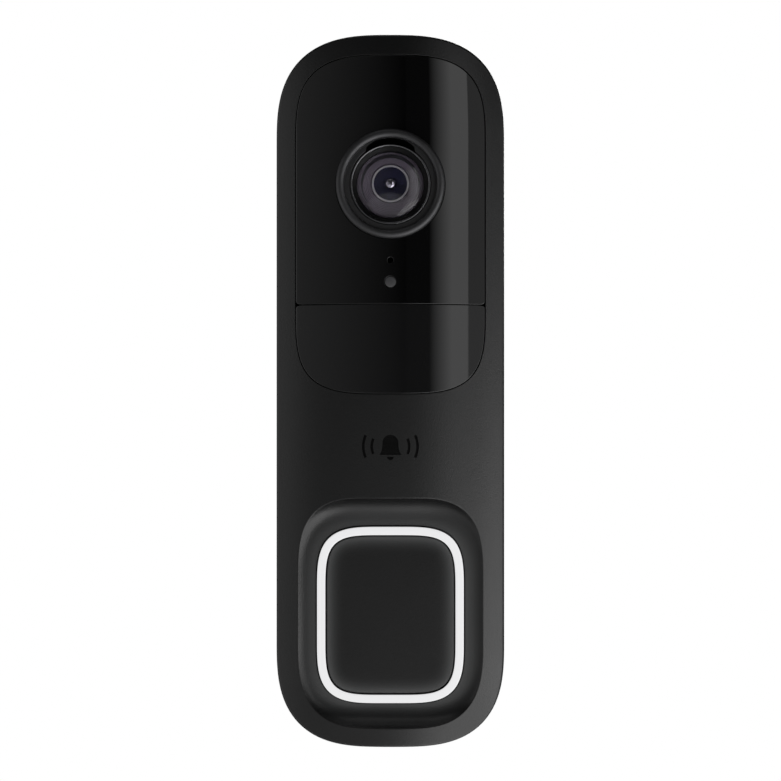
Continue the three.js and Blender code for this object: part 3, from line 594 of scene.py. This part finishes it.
# ---- Front cover ----
def painted_ring_light_of(points, limit):
    """How near each (x, z) point is to the ring, 1 at the ring and 0 beyond limit."""
    outer, inner = outline(RING, 0, 240), outline(CAP, 0, 240)
    border = np.concatenate([outer, inner])
    gap = np.array([math.sqrt(np.min(np.sum((border - p) ** 2, 1))) for p in points])
    return np.clip(1 - gap / limit, 0, 1)


def paint_ring_light(mesh, reach, power, front_limit):
    """Marks how much painted ring light each point in front of front_limit gets, as a share that pales its
    colour.
    """
    co = vertex_points(mesh)
    near = (co[:, 2] < RING[1] + 6) & (co[:, 1] < front_limit)
    painted_ring_light = np.zeros(len(co))
    painted_ring_light[near] = painted_ring_light_of(co[near][:, [0, 2]], reach) ** power
    attribute = mesh.attributes.new("painted_ring_light", "FLOAT", "POINT")
    attribute.data.foreach_set("value", painted_ring_light.astype(np.float32))


CREASE = 0.045  # share of the dish wall that its rounded crease takes


def dish_rows(steps=14, edge=0.2):
    """Rows of the dish from its floor to its rounded crease on the front surface."""
    floor = outline(DISH, -DISH_SPREAD, FINE)
    normal = outline(DISH, 1 - DISH_SPREAD, FINE) - floor
    rise = DISH_Y - FRONT

    def bowl(angle):
        at = floor + normal * ((DISH_FLARE + DISH_SPREAD) * np.sin(angle))[:, None]
        return at, DISH_Y - rise * (1 - np.cos(angle))

    low, high = np.zeros(FINE), np.full(FINE, math.pi / 2)
    for _ in range(40):
        middle = (low + high) / 2
        at, y = bowl(middle)
        above = y > front_y(at[:, 0], at[:, 1])
        low, high = np.where(above, middle, low), np.where(above, high, middle)
    rows = []
    for share in np.linspace(0, 1, steps + 1):
        at, y = bowl(low * (1 - CREASE) * share)
        rows.append(np.stack([at[:, 0], y, at[:, 1]], 1))
    crease, y = bowl(low)
    corner = np.stack([crease[:, 0], y, crease[:, 1]], 1)
    outside = crease + normal * edge
    return rows, rounded(rows[-1], corner, lift(outside, front_y), 4), outside


def emblem_loops():
    """A bell between sound arcs, as closed outlines round the emblem's centre."""
    bell = [(-2.1, -1.6), (2.1, -1.6)]
    for t in np.linspace(0, 1, 9)[1:]:
        bell.append(((1 - t) ** 2 * 2.1 + 2 * t * (1 - t) * 1.5 + t * t * 1.5,
                     (1 - t) ** 2 * -1.6 + 2 * t * (1 - t) * -0.9 + t * t * 0.7))
    bell += [(1.5 * math.cos(a), 0.7 + 1.5 * math.sin(a)) for a in np.linspace(0, math.pi, 25)[1:]]
    bell += [(-x, z) for x, z in reversed(bell[2:9])]
    below = np.linspace(math.pi, 2 * math.pi, 14)
    clapper = [(0.65 * math.cos(a), -1.95 + 0.65 * math.sin(a)) for a in below]
    loops = [np.array(bell), np.array(clapper)]
    for side in (0, math.pi):
        for radius in (3.8, 5.4):
            spread = np.linspace(-0.42, 0.42, 15)
            outer = [(radius * math.cos(side + a), radius * math.sin(side + a)) for a in spread]
            inner = [((radius - 0.5) * math.cos(side + a), (radius - 0.5) * math.sin(side + a))
                     for a in spread[::-1]]
            loops.append(np.array(outer + inner))
    return [loop + (0, EMBLEM_Z) for loop in loops]


def front_cover():
    skin = Skin()
    edge = 0.5
    body = outline(BODY)
    body_in = outline(BODY, -edge)
    inner_wall = outline(BODY, -WALL)
    ceiling = lift(inner_wall, CEILING)
    wall_top = lift(body, under_front(edge))
    lip = 0.25
    rows = rounded(lift(body_in, front_y), lift(body, front_y), wall_top, 7)
    rows += rounded(lift(body, PARTING - lip), lift(body, PARTING), lift(outline(BODY, -lip), PARTING), 3)
    rows += [lift(inner_wall, PARTING), ceiling]
    skin.rows(rows)

    rim = 0.09
    window_rim = outline(WINDOWS, rim)
    window = outline(WINDOWS)
    pocket_y = under_front(POCKET)
    skin.rows(rounded(lift(window_rim, front_y), lift(window, front_y),
                      lift(window, under_front(rim)), 4) + [lift(window, pocket_y)])

    bowl, crease, dish_edge = dish_rows()
    skin.rows(bowl)
    skin.rows(crease)
    ring_hole = outline(RING, SEAM * 0.8)
    ring_rim = outline(RING, SEAM * 0.8 + 0.12)
    foot = outline(DISH, -DISH_SPREAD)
    skin.rows([lift(foot * (1 - s) + ring_rim * s, DISH_Y) for s in np.linspace(0, 1, 9)])
    skin.rows(rounded(lift(ring_rim, DISH_Y), lift(ring_hole, DISH_Y), lift(ring_hole, DISH_Y + 0.12), 3)
              + [lift(ring_hole, CEILING)])

    emblem = emblem_loops()
    sunk = 0.35
    for loop in emblem:
        skin.rows([lift(loop, front_y), lift(loop, under_front(sunk))])
        skin.patch(loop, [], under_front(sunk))

    holes = [circle(0, CAMERA_Z, BEZEL_RADIUS + 0.6, 160), circle(0, MIC_Z, 2.4), circle(0, PIPE_Z, 1.4)]
    for hole in holes:
        skin.rows([lift(hole, pocket_y), lift(hole, CEILING)])
    skin.patch(body_in, [window_rim, dish_edge] + emblem, front_y, pitch=1.1)
    skin.patch(window, holes, pocket_y, pitch=1.6)
    skin.patch(inner_wall, holes + [ring_hole], CEILING)
    mesh = skin.mesh("front_cover_skin")

    slots = []
    for side in (-1, 1):
        for row in range(3):
            y = PARTING - 4 - 2.2 * row
            slots.append(side_slot(side, y))
    mesh = boolean(mesh, slots)
    # Painted ring light on the dish round the ring.
    paint_ring_light(mesh, reach=5.2, power=2.4, front_limit=DISH_Y + 0.5)
    place("front_cover_skin", mesh, "housing", shell, ["front_cover"], 50)
    set_front_normals(mesh)
    centre = face_centres(mesh)
    floor_y = front_y(np.clip(centre[:, 0], -HALF, HALF), centre[:, 2]) + sunk
    in_emblem = (np.abs(centre[:, 2] - EMBLEM_Z) < 4) & (np.abs(centre[:, 0]) < 7)
    add_material(mesh, emblem_material, in_emblem & (np.abs(centre[:, 1] - floor_y) < 0.05))


def side_slot(side, y):
    """A stadium-shaped cutter through the side wall at depth y."""
    half_long, half_wide = 4.5, 0.5
    loop = stadium(0, 0, half_wide, half_long, half_wide * 0.98, 40)
    skin = Skin()
    rows = []
    for x in (side * (HALF - 3.2), side * (HALF + 1)):
        rows.append(np.stack([np.full(len(loop), x), y + loop[:, 0], SPEAKER_Z + loop[:, 1]], 1))
    skin.rows(rows)
    for row in rows:
        skin.fan(row, row.mean(0))
    return skin.mesh("slot")


CLOTH_THICKNESS = 0.25
CLOTH_STEPS = 12


def speaker_mesh():
    """Woven cloth behind the side slots, which keeps water and dust out."""
    for side, name in ((-1, "left"), (1, "right")):
        skin = Skin()
        y0, y1 = PARTING - 9.6, PARTING - 2.8
        z0, z1 = SPEAKER_Z - 5.5, SPEAKER_Z + 5.5
        x = side * (HALF - WALL + 0.35)
        steps = CLOTH_STEPS
        for dx in (0, -side * CLOTH_THICKNESS):
            rows = []
            for z in np.linspace(z0, z1, steps):
                rows.append([(x + dx, y, z) for y in np.linspace(y0, y1, steps)])
            first = skin.add_points(np.array(rows).reshape(-1, 3))
            for i in range(steps - 1):
                for j in range(steps - 1):
                    a = first + i * steps + j
                    skin.faces.append((a, a + 1, a + steps + 1, a + steps))
        edge = [(i, 0) for i in range(steps)] + [(steps - 1, j) for j in range(1, steps)]
        edge += [(i, steps - 1) for i in range(steps - 2, -1, -1)] + [(0, j) for j in range(steps - 2, 0, -1)]
        index = [i * steps + j for i, j in edge]
        size = len(index)
        for k in range(size):
            a, b = index[k], index[(k + 1) % size]
            skin.faces.append((a, b, b + steps * steps, a + steps * steps))
        place(f"speaker_cloth_{name}", skin.mesh(f"speaker_cloth_{name}"), "housing", cloth_material)


def woven_cloth():
    shader = Shader("speaker_cloth", (0.01, 0.01, 0.01), 0.8)
    wave = shader.nodes.new("ShaderNodeTexChecker")
    wave.inputs["Scale"].default_value = 5000
    shader.links.new(shader.coordinates, wave.inputs["Vector"])
    shader.bump(wave.outputs["Fac"], 0.00004)
    shader.links.new(shader.mix(wave.outputs["Fac"], (0.006, 0.006, 0.006), (0.016, 0.016, 0.016)),
                     shader.main.inputs["Base Color"])
    return shader.material


cloth_material = woven_cloth()


# ---- Windows ----
def split_loop(shape_loop, above):
    """The part of a loop above or below the split, closed by an even straight run."""
    limit = SPLIT_Z + (PANE_GAP / 2 if above else -PANE_GAP / 2)
    keep = shape_loop[:, 1] > limit if above else shape_loop[:, 1] < limit
    start = next(i for i in range(len(keep)) if keep[i] and not keep[i - 1])
    kept = [shape_loop[(start + i) % len(keep)] for i in range(int(keep.sum()))]
    side = abs(np.array(kept)[:, 0]).max()
    first_x, last_x = math.copysign(side, kept[0][0]), math.copysign(side, kept[-1][0])
    gap = abs(kept[0][1] - limit)
    closing = [(x, limit) for x in np.linspace(last_x, first_x, 60)]
    kept = kept[:-1] if abs(kept[-1][1] - limit) < 0.15 else kept
    kept = kept[1:] if gap < 0.15 else kept
    return np.array(kept + closing)


def round_corners(loop):
    """Softens the two sharp corners where a window meets the split."""
    smooth = loop.copy()
    for _ in range(3):
        smooth = 0.25 * np.roll(smooth, 1, 0) + 0.5 * smooth + 0.25 * np.roll(smooth, -1, 0)
    before, after = loop - np.roll(loop, 1, 0), np.roll(loop, -1, 0) - loop
    turn = np.abs(before[:, 0] * after[:, 1] - before[:, 1] * after[:, 0])
    turn /= np.linalg.norm(before, axis=1) * np.linalg.norm(after, axis=1) + 1e-9
    sharp = turn > 0.6
    near = sharp | np.roll(sharp, 1) | np.roll(sharp, -1)
    smooth[~near] = loop[~near]
    return smooth


def window_piece(name, loop, holes, material, node):
    """A pane with softened edges round its outline and its holes."""
    edge = 0.09
    back = under_front(WINDOW_THICKNESS)
    skin = Skin()
    rims = [offset_loop(loop, -edge)] + [offset_loop(hole, edge) for hole in holes]
    for border, rim, steps in zip([loop] + holes, rims, [4] + [3] * len(holes)):
        soft = rounded(lift(rim, front_y), lift(border, front_y), lift(border, under_front(edge)), steps)
        skin.rows(soft + [lift(border, back)])
    skin.patch(rims[0], rims[1:], front_y, pitch=0.9)
    skin.patch(loop, holes, back, pitch=1.6)
    mesh = skin.mesh(name)
    place(name, mesh, "housing", material, [node], 60)
    set_front_normals(mesh)


def windows():
    loop = outline(WINDOWS, -PANE_GAP, 600)
    upper = round_corners(split_loop(loop, True))
    lower = round_corners(split_loop(loop, False))
    holes = [circle(0, CAMERA_Z, BEZEL_RADIUS + 0.07, 200), circle(0, MIC_Z, 0.56, 48),
             circle(0, PIPE_Z, PIPE_RADIUS + 0.1, 64)]
    window_piece("camera_window_skin", upper, holes, window_material, "camera_window")
    window_piece("pir_window_skin", lower, [], pir_material, "pir_window")


# ---- Camera ----
def bezel():
    """The raised ring, its step, a bright bead and a dark well round the lens."""
    roll = 0.82
    roll_r = BEZEL_RADIUS - roll
    step_y = FRONT + 0.05
    bead_r, bead = 7.45, 0.25
    profile = [(LENS_RADIUS + 0.2, FRONT + 3), (BEZEL_RADIUS - 0.1, FRONT + 3), (BEZEL_RADIUS, FRONT + 2.9)]
    profile += arc(roll_r, FRONT - 0.35, roll, 0, -180, 26)
    profile += [(roll_r - roll, FRONT - 0.1), (roll_r - roll - 0.05, step_y), (7.86, step_y),
                (7.82, step_y + 0.04), (7.8, FRONT + 0.4), (bead_r + bead, FRONT + 0.4)]
    profile += arc(bead_r, FRONT + 0.3, bead, 0, -180, 10)
    profile += [(bead_r - bead - 0.02, FRONT + 0.5), (LENS_RADIUS + 0.25, FRONT + 0.9),
                (LENS_RADIUS + 0.2, FRONT + 1.0)]
    profile.append(profile[0])
    mesh = turned(profile, 0, CAMERA_Z, "camera_bezel_skin", 220)
    place("camera_bezel_skin", mesh, "housing", bezel_material, ["camera_bezel"])
    centre = face_centres(mesh)
    radius = np.hypot(centre[:, 0], centre[:, 2] - CAMERA_Z)
    add_material(mesh, step_material, (radius < roll_r - roll + 0.02) & (radius >= 7.75))
    add_material(mesh, bead_material, (radius < 7.75) & (radius >= bead_r - bead + 0.02))
    add_material(mesh, well_material, radius < bead_r - bead + 0.02)


def crescent(name, material, radius, low_radius, low_z, half_angle, back, front):
    """A dark sliver under the top of the lens opening, between two arcs, that stands in for shade."""
    spread = np.radians(np.linspace(-half_angle, half_angle, 49))
    upper = np.stack([radius * np.sin(spread), radius * np.cos(spread)], 1)
    reach = math.asin(upper[-1][0] / low_radius)
    spread = np.linspace(reach, -reach, 49)
    lower = np.stack([low_radius * np.sin(spread), low_z + low_radius * np.cos(spread)], 1)
    loop = np.concatenate([upper, lower[1:-1]])[::-1] + (0, CAMERA_Z)
    place(name, prism(loop, back, front, name=name), "housing", material)


LEAN = 0.13  # the stack behind the front glass looks down a little


def leaning(profile, name, count=160):
    """A solid turned about the lens axis that leans up towards the back."""
    mesh = turned(profile, 0, CAMERA_Z, name, count)
    for vertex in mesh.vertices:
        vertex.co.z += LEAN * (vertex.co.y - FRONT * MM)
    return mesh


def lens():
    apex, sag = FRONT, 1.3
    curve = (LENS_RADIUS ** 2 + sag ** 2) / (2 * sag)
    sweep = math.degrees(math.asin(LENS_RADIUS / curve))
    dome = arc(0, apex + curve, curve, -90 + sweep, -90, 18)
    dome[-1] = (0, apex)
    inner_curve = curve * 1.1
    inner_sweep = math.degrees(math.asin((LENS_RADIUS - 0.25) / inner_curve))
    hollow = arc(0, apex + 1.2 + inner_curve, inner_curve, -90, -90 + inner_sweep, 14)
    hollow[0] = (0, hollow[0][1])
    profile = hollow + [(LENS_RADIUS - 0.15, hollow[-1][1] + 0.1), (LENS_RADIUS, hollow[-1][1])] + dome
    place("lens_front_glass", turned(profile, 0, CAMERA_Z, "lens_front_glass", 160), "housing",
          lens_material, ["lens_front"])

    baffle = [(6.75, FRONT + 2.8), (6.5, FRONT + 2.65)]
    for i in range(9):
        r0 = 6.35 - i * 0.3
        y = FRONT + 2.6 + i * 0.12
        baffle += [(r0, y), (r0 - 0.2, y + 0.02), (r0 - 0.24, y + 0.09)]
    baffle += [(3.5, FRONT + 3.9), (3.5, FRONT + 4.4), (6.75, FRONT + 4.4), (6.75, FRONT + 2.8)]
    place("lens_baffle", leaning(baffle, "lens_baffle", 160), "housing", baffle_material)

    retainer = [(3.12, FRONT + 4.3), (3.12, FRONT + 3.55), (3.2, FRONT + 3.45), (3.42, FRONT + 3.45),
                (3.48, FRONT + 3.55), (3.48, FRONT + 4.3), (3.12, FRONT + 4.3)]
    place("lens_retainer_ring", leaning(retainer, "lens_retainer_ring", 120), "housing",
          retainer_material, ["lens_retainer"])

    inner = [(0, FRONT + 5.2), (3.1, FRONT + 5.2)]
    for i in range(10):
        r0 = 3.1 - i * 0.2
        y = FRONT + 3.9 + i * 0.06
        inner += [(r0, y), (r0 - 0.13, y + 0.01), (r0 - 0.16, y + 0.06)]
    inner += [(1.05, FRONT + 4.6), (0, FRONT + 4.6)]
    place("lens_inner_stack", leaning(inner, "lens_inner_stack", 120), "housing",
          inner_lens_material, ["lens_inner"])

    pearl = [(0, FRONT + 4.7), (1.0, FRONT + 4.7)]
    pearl += [(r, FRONT + 4.6 + (y - FRONT - 4.6) * 0.6) for r, y in arc(0, FRONT + 4.6, 1.0, 0, -90, 12)]
    pearl[-1] = (0, pearl[-1][1])
    place("lens_pupil", leaning(pearl, "lens_pupil", 64), "housing", pupil_material)


def sensor_dot():
    y = FRONT + 0.02
    dot = [(0, y + 3), (PIPE_RADIUS, y + 3), (PIPE_RADIUS, y + 0.08), (PIPE_RADIUS - 0.03, y + 0.02),
           (PIPE_RADIUS - 0.1, y), (0, y)]
    place("light_pipe_tip", turned(dot, 0, PIPE_Z, "light_pipe_tip", 64), "housing", pipe_material,
          ["light_pipe"])


def camera():
    bezel()
    # Painted shade: a black crescent under the top of the bezel's opening.
    crescent("lens_painted_top_shade", painted_top_shade_material, radius=7.45, low_radius=6.35, low_z=2.5, half_angle=39,
             back=FRONT + 0.6, front=FRONT + 0.02)
    # Painted shadow: a dark blue crescent inside the lens, behind the glass.
    crescent("lens_painted_inner_shade", painted_inner_shade_material, radius=5.95, low_radius=6.6, low_z=-0.25, half_angle=33,
             back=FRONT + 3.0, front=FRONT + 2.85)
    lens()
    sensor_dot()


# ---- Button ----
FACES_FRONT = -0.55  # the y of a normal below which a face of the ring gives light


def light_ring():
    front = DISH_Y - RING_PROUD
    back = ring_high[1]
    edge = 0.3
    skin = Skin()
    outer, inner = outline(RING), outline(CAP)
    outer_in, inner_out = outline(RING, -edge), outline(CAP, edge)
    rows = [lift(outer, back)]
    rows += rounded(lift(outer, front + edge), lift(outer, front), lift(outer_in, front), 6)
    rows += rounded(lift(inner_out, front), lift(inner, front), lift(inner, front + edge), 6)
    rows += [lift(inner, back), lift(outer, back)]
    skin.rows(rows)
    mesh = skin.mesh("light_ring_diffuser")
    place("light_ring_diffuser", mesh, "housing", ring_material, ["light_ring"])
    add_material(mesh, ring_side_material, face_normals(mesh)[:, 1] > FACES_FRONT)


def button_cap():
    front = DISH_Y - CAP_PROUD
    back = cap_high[1]
    edge = 0.3
    gap = 0.16
    skin = Skin()
    side, top = outline(CAP, -gap), outline(CAP, -gap - edge)

    def crowned(x, z):
        middle = (CAP[1] + CAP[2]) / 2
        reach = np.maximum((x / CAP[0]) ** 2, ((z - middle) / (CAP[1] - middle)) ** 2)
        return front + 0.12 * reach

    rows = [lift(side, back)] + rounded(lift(side, front + edge + 0.1), lift(side, front + 0.1),
                                        lift(top, crowned), 6)
    steps = [lift(outline(CAP, -gap - edge - d), crowned) for d in (0.4, 0.8, 1.3, 1.9, 2.6)]
    skin.rows(rows + steps)
    skin.patch(outline(CAP, -gap - edge - 2.6), [], crowned, pitch=0.9)
    skin.patch(side, [], back)
    mesh = skin.mesh("button_cap_skin")
    # Painted ring light on the cap's edge next to the ring.
    paint_ring_light(mesh, reach=4.4, power=3.4, front_limit=front + 1.2)
    place("button_cap_skin", mesh, "button", cap_material, ["button_cap"], 60)


# ---- Rear cover, bracket, screws ----
def rear_cover():
    skin = Skin()
    edge = 0.4
    plate_back, plate_front = -5.4, -7.2
    body, skirt, rim = outline(BODY), outline(BODY, -WALL), outline(BODY, -3.2)
    rows = [lift(rim, plate_front), lift(rim, RIM_FRONT)]
    lip = 0.25
    rows += rounded(lift(outline(BODY, -lip), RIM_FRONT), lift(body, RIM_FRONT),
                    lift(body, RIM_FRONT + lip), 3)
    rows += rounded(lift(body, SKIRT_BACK - edge), lift(body, SKIRT_BACK),
                    lift(outline(BODY, -edge), SKIRT_BACK), 5)
    rows += rounded(lift(outline(BODY, edge - WALL), SKIRT_BACK), lift(skirt, SKIRT_BACK),
                    lift(skirt, SKIRT_BACK - edge), 4)
    rows += [lift(skirt, plate_back)]
    skin.rows(rows)
    terminal_low, terminal_high = cad_box("terminal_block")
    half_x = terminal_high[0] + 0.3
    half_z = (terminal_high[2] - terminal_low[2]) / 2 + 0.3
    holes = [stadium(0, centre_of("terminal_block")[2], half_x, half_z, 0.8)]
    tamper = centre_of("tamper_switch")
    holes.append(stadium(tamper[0], tamper[2], 3.1, 3.1, 0.5))
    for index in range(1, 5):
        screw = centre_of(f"case_screw_{index}")
        holes.append(circle(screw[0], screw[2], 1.3, 32))
    for hole in holes:
        skin.rows([lift(hole, plate_back), lift(hole, plate_front)])
    skin.patch(skirt, holes, plate_back)
    skin.patch(rim, holes, plate_front)
    mesh = skin.mesh("rear_cover_skin")
    head = cad_box("security_screw")[1][0] + 0.4
    cutters = [
        box_mesh((-8.6, 8.6), (-3.4, -1.0), (TOP - 4, TOP - 0.9)),
        box_mesh((-1.3, 1.3), (LOCK_Y - 1.3, 1), (-TOP - 1, -TOP + 3)),
        box_mesh((-head, head), (LOCK_Y - head, 1), (-TOP - 1, -TOP + 1.3)),
    ]
    mesh = boolean(mesh, cutters)
    even_flats(place("rear_cover_skin", mesh, "housing", rear_material, ["rear_cover"], 40))


def box_mesh(xs, ys, zs, bevel=0.0):
    bm = bmesh.new()
    bmesh.ops.create_cube(bm, size=1)
    for v in bm.verts:
        v.co = Vector(((xs[1] if v.co.x > 0 else xs[0]) * MM, (ys[1] if v.co.y > 0 else ys[0]) * MM,
                       (zs[1] if v.co.z > 0 else zs[0]) * MM))
    if bevel:
        bmesh.ops.bevel(bm, geom=bm.edges, offset=bevel * MM, segments=3, profile=0.5, affect="EDGES")
    mesh = bpy.data.meshes.new("block")
    bm.to_mesh(mesh)
    bm.free()
    return mesh


def bracket():
    inset = WALL + 0.6
    _, high = cad_box("mounting_bracket")
    tamper = centre_of("tamper_plunger")
    slot_z = TOP - 16.3
    window_middle = centre_of("terminal_block")[2] + 15.25
    holes = [stadium(0, slot_z, 2.3, 5, 2.2), stadium(0, -slot_z, 2.3, 5, 2.2),
             stadium(0, window_middle, 7, 6.45, 2), circle(tamper[0], tamper[2], 3)]
    plate = prism(outline(BODY, -inset), 0, -2, holes, 0.25, "mounting_bracket_skin")
    rail = prism(outline(BODY, -inset - 1.4), -1.0, -3.2, [outline(BODY, -inset - 2.6)], 0.2)
    tongue = box_mesh((-8, 8), (-2.4, -1.4), (TOP - inset - 4, high[2]), 0.2)
    tab = box_mesh((-4.5, 4.5), (-5.0, -1), (-TOP + 2.9, -TOP + 6.5), 0.3)
    hook_room = box_mesh((-9, 9), (-1.4, 1), (TOP - inset - 2, TOP))
    bore = rod(0, LOCK_Y, 1.3, -TOP, -TOP + 11)
    mesh = boolean(plate, [rail], "UNION")
    mesh = boolean(mesh, [hook_room])
    mesh = boolean(mesh, [tongue, tab], "UNION")
    mesh = boolean(mesh, [bore])
    even_flats(place("mounting_bracket_skin", mesh, "bracket", bracket_material, ["mounting_bracket"],
                     35))


def upright(profile, x, y, name, count=48):
    """A solid turned about an axis along z, from (radius, z) points that start and end on it."""
    skin = Skin()
    angle = np.linspace(0, 2 * math.pi, count, endpoint=False)
    rows = [np.stack([x + radius * np.cos(angle), y + radius * np.sin(angle), np.full(count, z)], 1)
            for radius, z in profile[1:-1]]
    skin.rows(rows)
    skin.fan(rows[0], (x, y, profile[0][1]))
    skin.fan(rows[-1], (x, y, profile[-1][1]))
    return skin.mesh(name)


def rod(x, y, radius, bottom, top, count=48):
    return upright([(0, bottom), (radius, bottom), (radius, top), (0, top)], x, y, "rod", count)


def security_screw():
    low, high = cad_box("security_screw")
    head, shank = high[0], 1.0
    top = high[2]
    profile = [(0, low[2]), (head - 0.3, low[2]), (head - 0.09, low[2] + 0.09), (head, low[2] + 0.3),
               (head, low[2] + 0.8), (head - 0.1, low[2] + 0.9), (shank, low[2] + 0.9)]
    pitch = 0.4
    z = low[2] + 1.3
    while z < top - 0.6:
        profile += [(shank - 0.16, z), (shank, z + pitch / 2)]
        z += pitch
    profile += [(shank - 0.3, top), (0, top)]
    mesh = upright(profile, 0, LOCK_Y, "security_screw_turned", 64)
    socket = rod(0, LOCK_Y, 0.9, low[2] - 0.5, low[2] + 0.55, 6)
    mesh = boolean(mesh, [socket])
    place("security_screw_turned", mesh, "lock_screw", steel, ["security_screw"], 30)


# ---- Carried-over CAD nodes ----
def finish_inner_parts():
    looks = {
        rubber: ["case_gasket", "mic_gasket", "microphone", "button_seal", "speaker_gasket"],
        steel: ["case_screw_1", "case_screw_2", "case_screw_3", "case_screw_4", "pir_sensor",
                "shield_can", "speaker_magnet", "speaker_frame", "terminal_screw_1", "terminal_screw_2"],
        board: ["camera_board", "sensor_board", "main_board", "ring_board", "terminal_block"],
        dark_material: ["lens_barrel", "lens_holder", "filter_frame", "image_sensor", "light_sensor",
                        "switch_body", "speaker_cone", "tamper_switch"],
        pale: ["antenna", "switch_plunger", "tamper_plunger"],
        battery_material: ["battery_pack"],
        flex_material: ["flat_cable"],
        pir_material: ["ir_led_left", "ir_led_right"],
        inner_lens_material: ["filter_glass_ir_cut", "filter_glass_clear"],
    }
    for material, nodes in looks.items():
        for node in nodes:
            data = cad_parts[node].data
            data.materials.clear()
            data.materials.append(material)


# ---- Studio ----
def studio():
    scene = bpy.context.scene
    scene.view_settings.view_transform = "Standard"
    world = bpy.data.worlds.new("studio")
    scene.world = world
    world.use_nodes = True
    nodes, links = world.node_tree.nodes, world.node_tree.links
    nodes.clear()
    seen = nodes.new("ShaderNodeBackground")
    seen.inputs["Color"].default_value = (1, 1, 1, 1)
    around = nodes.new("ShaderNodeBackground")
    around.inputs["Color"].default_value = (0.02, 0.02, 0.02, 1)
    path = nodes.new("ShaderNodeLightPath")
    mix = nodes.new("ShaderNodeMixShader")
    links.new(path.outputs["Is Camera Ray"], mix.inputs["Fac"])
    links.new(around.outputs["Background"], mix.inputs[1])
    links.new(seen.outputs["Background"], mix.inputs[2])
    links.new(mix.outputs["Shader"], nodes.new("ShaderNodeOutputWorld").inputs["Surface"])
    soft_boxes()
    soft_light("low_fill", around_object(0, -40), size=0.8, power=0.8)
    soft_light("low_key", around_object(50, -40), size=0.6, power=2.0)
    soft_light("high_light", around_object(-20, 70), size=0.3, power=0.15)
    soft_light("back_light", (0.2, 0.6, 0.3), size=0.5, power=4.0)
    floor()


LAMP_DISTANCE = 0.5


def around_object(azimuth, elevation):
    """A place in metres, by angles in degrees from straight in front."""
    a, e = math.radians(azimuth), math.radians(elevation)
    level = LAMP_DISTANCE * math.cos(e)
    return (level * math.sin(a), -level * math.cos(a), LAMP_DISTANCE * math.sin(e))


def soft_light(name, location, size, power):
    """A round soft light aimed at the doorbell."""
    data = bpy.data.lights.new(name, "AREA")
    data.shape = "DISK"
    data.size = size
    data.energy = power
    light = add_object(name, data)
    light.location = location
    light.rotation_euler = Vector(location).to_track_quat("Z", "Y").to_euler()
    light.visible_camera = False


# Soft boxes round the front: azimuths in degrees (0 in front, positive to the right), heights in metres,
# brightness, and over how many degrees their left and right sides fade.
SOFT_BOXES = {
    "left_side": ((-110, -50), (-1.2, 0.6), 0.85, (2, 0)),
    "left_fill": ((-50, 8), (-0.4, 0.6), 0.32, (0, 58)),
    "key": ((20, 41), (-0.4, 0.6), 1.4, (12, 0)),
    "right_fill": ((41, 52), (-0.4, 0.6), 0.5, (0, 0)),
    "right_edge": ((52, 66), (-0.4, 0.1), 4.0, (2, 2)),
    "right_side": ((66, 100), (-1.2, 0.6), 0.7, (0, 10)),
}
BOX_FADE_HEIGHT = 0.15


def fade_in(distance, fade):
    return min(distance / fade, 1) if fade else 1


def soft_boxes(radius=0.9, columns=48, rows=24):
    for name, (azimuths, heights, brightness, fade) in SOFT_BOXES.items():
        points, faces, levels = [], [], []
        for z in np.linspace(*heights, rows):
            for azimuth in np.linspace(*azimuths, columns):
                angle = math.radians(azimuth)
                points.append((radius * math.sin(angle), -radius * math.cos(angle), z))
                sides = fade_in(azimuth - azimuths[0], fade[0]) * fade_in(azimuths[1] - azimuth, fade[1])
                ends = fade_in(min(z - heights[0], heights[1] - z), BOX_FADE_HEIGHT)
                levels.append(brightness * sides * ends)
        for row in range(rows - 1):
            for column in range(columns - 1):
                corner = row * columns + column
                faces.append((corner, corner + 1, corner + columns + 1, corner + columns))
        mesh = bpy.data.meshes.new(name)
        mesh.from_pydata(points, [], faces)
        mesh.attributes.new("level", "FLOAT", "POINT").data.foreach_set("value", np.array(levels, np.float32))
        mesh.materials.append(soft_box_material(name))
        box = add_object(name, mesh)
        box.visible_camera = False


def soft_box_material(name):
    material = bpy.data.materials.new(name)
    material.use_nodes = True
    nodes, links = material.node_tree.nodes, material.node_tree.links
    nodes.clear()
    source = nodes.new("ShaderNodeAttribute")
    source.attribute_name = "level"
    emission = nodes.new("ShaderNodeEmission")
    links.new(source.outputs["Fac"], emission.inputs["Strength"])
    links.new(emission.outputs["Emission"], nodes.new("ShaderNodeOutputMaterial").inputs["Surface"])
    return material


def floor(radius=0.7, height=-0.6, sides=96):
    turn = [2 * math.pi * side / sides for side in range(sides)]
    mesh = bpy.data.meshes.new("floor")
    mesh.from_pydata([(radius * math.cos(t), radius * math.sin(t), height) for t in turn], [], [range(sides)])
    disc = add_object("floor", mesh)
    material = bpy.data.materials.new("floor")
    material.use_nodes = True
    main = material.node_tree.nodes["Principled BSDF"]
    main.inputs["Base Color"].default_value = (0.85, 0.85, 0.85, 1)
    main.inputs["Roughness"].default_value = 0.8
    disc.data.materials.append(material)


front_cover()
speaker_mesh()
windows()
camera()
light_ring()
button_cap()
rear_cover()
bracket()
security_screw()
finish_inner_parts()
studio()
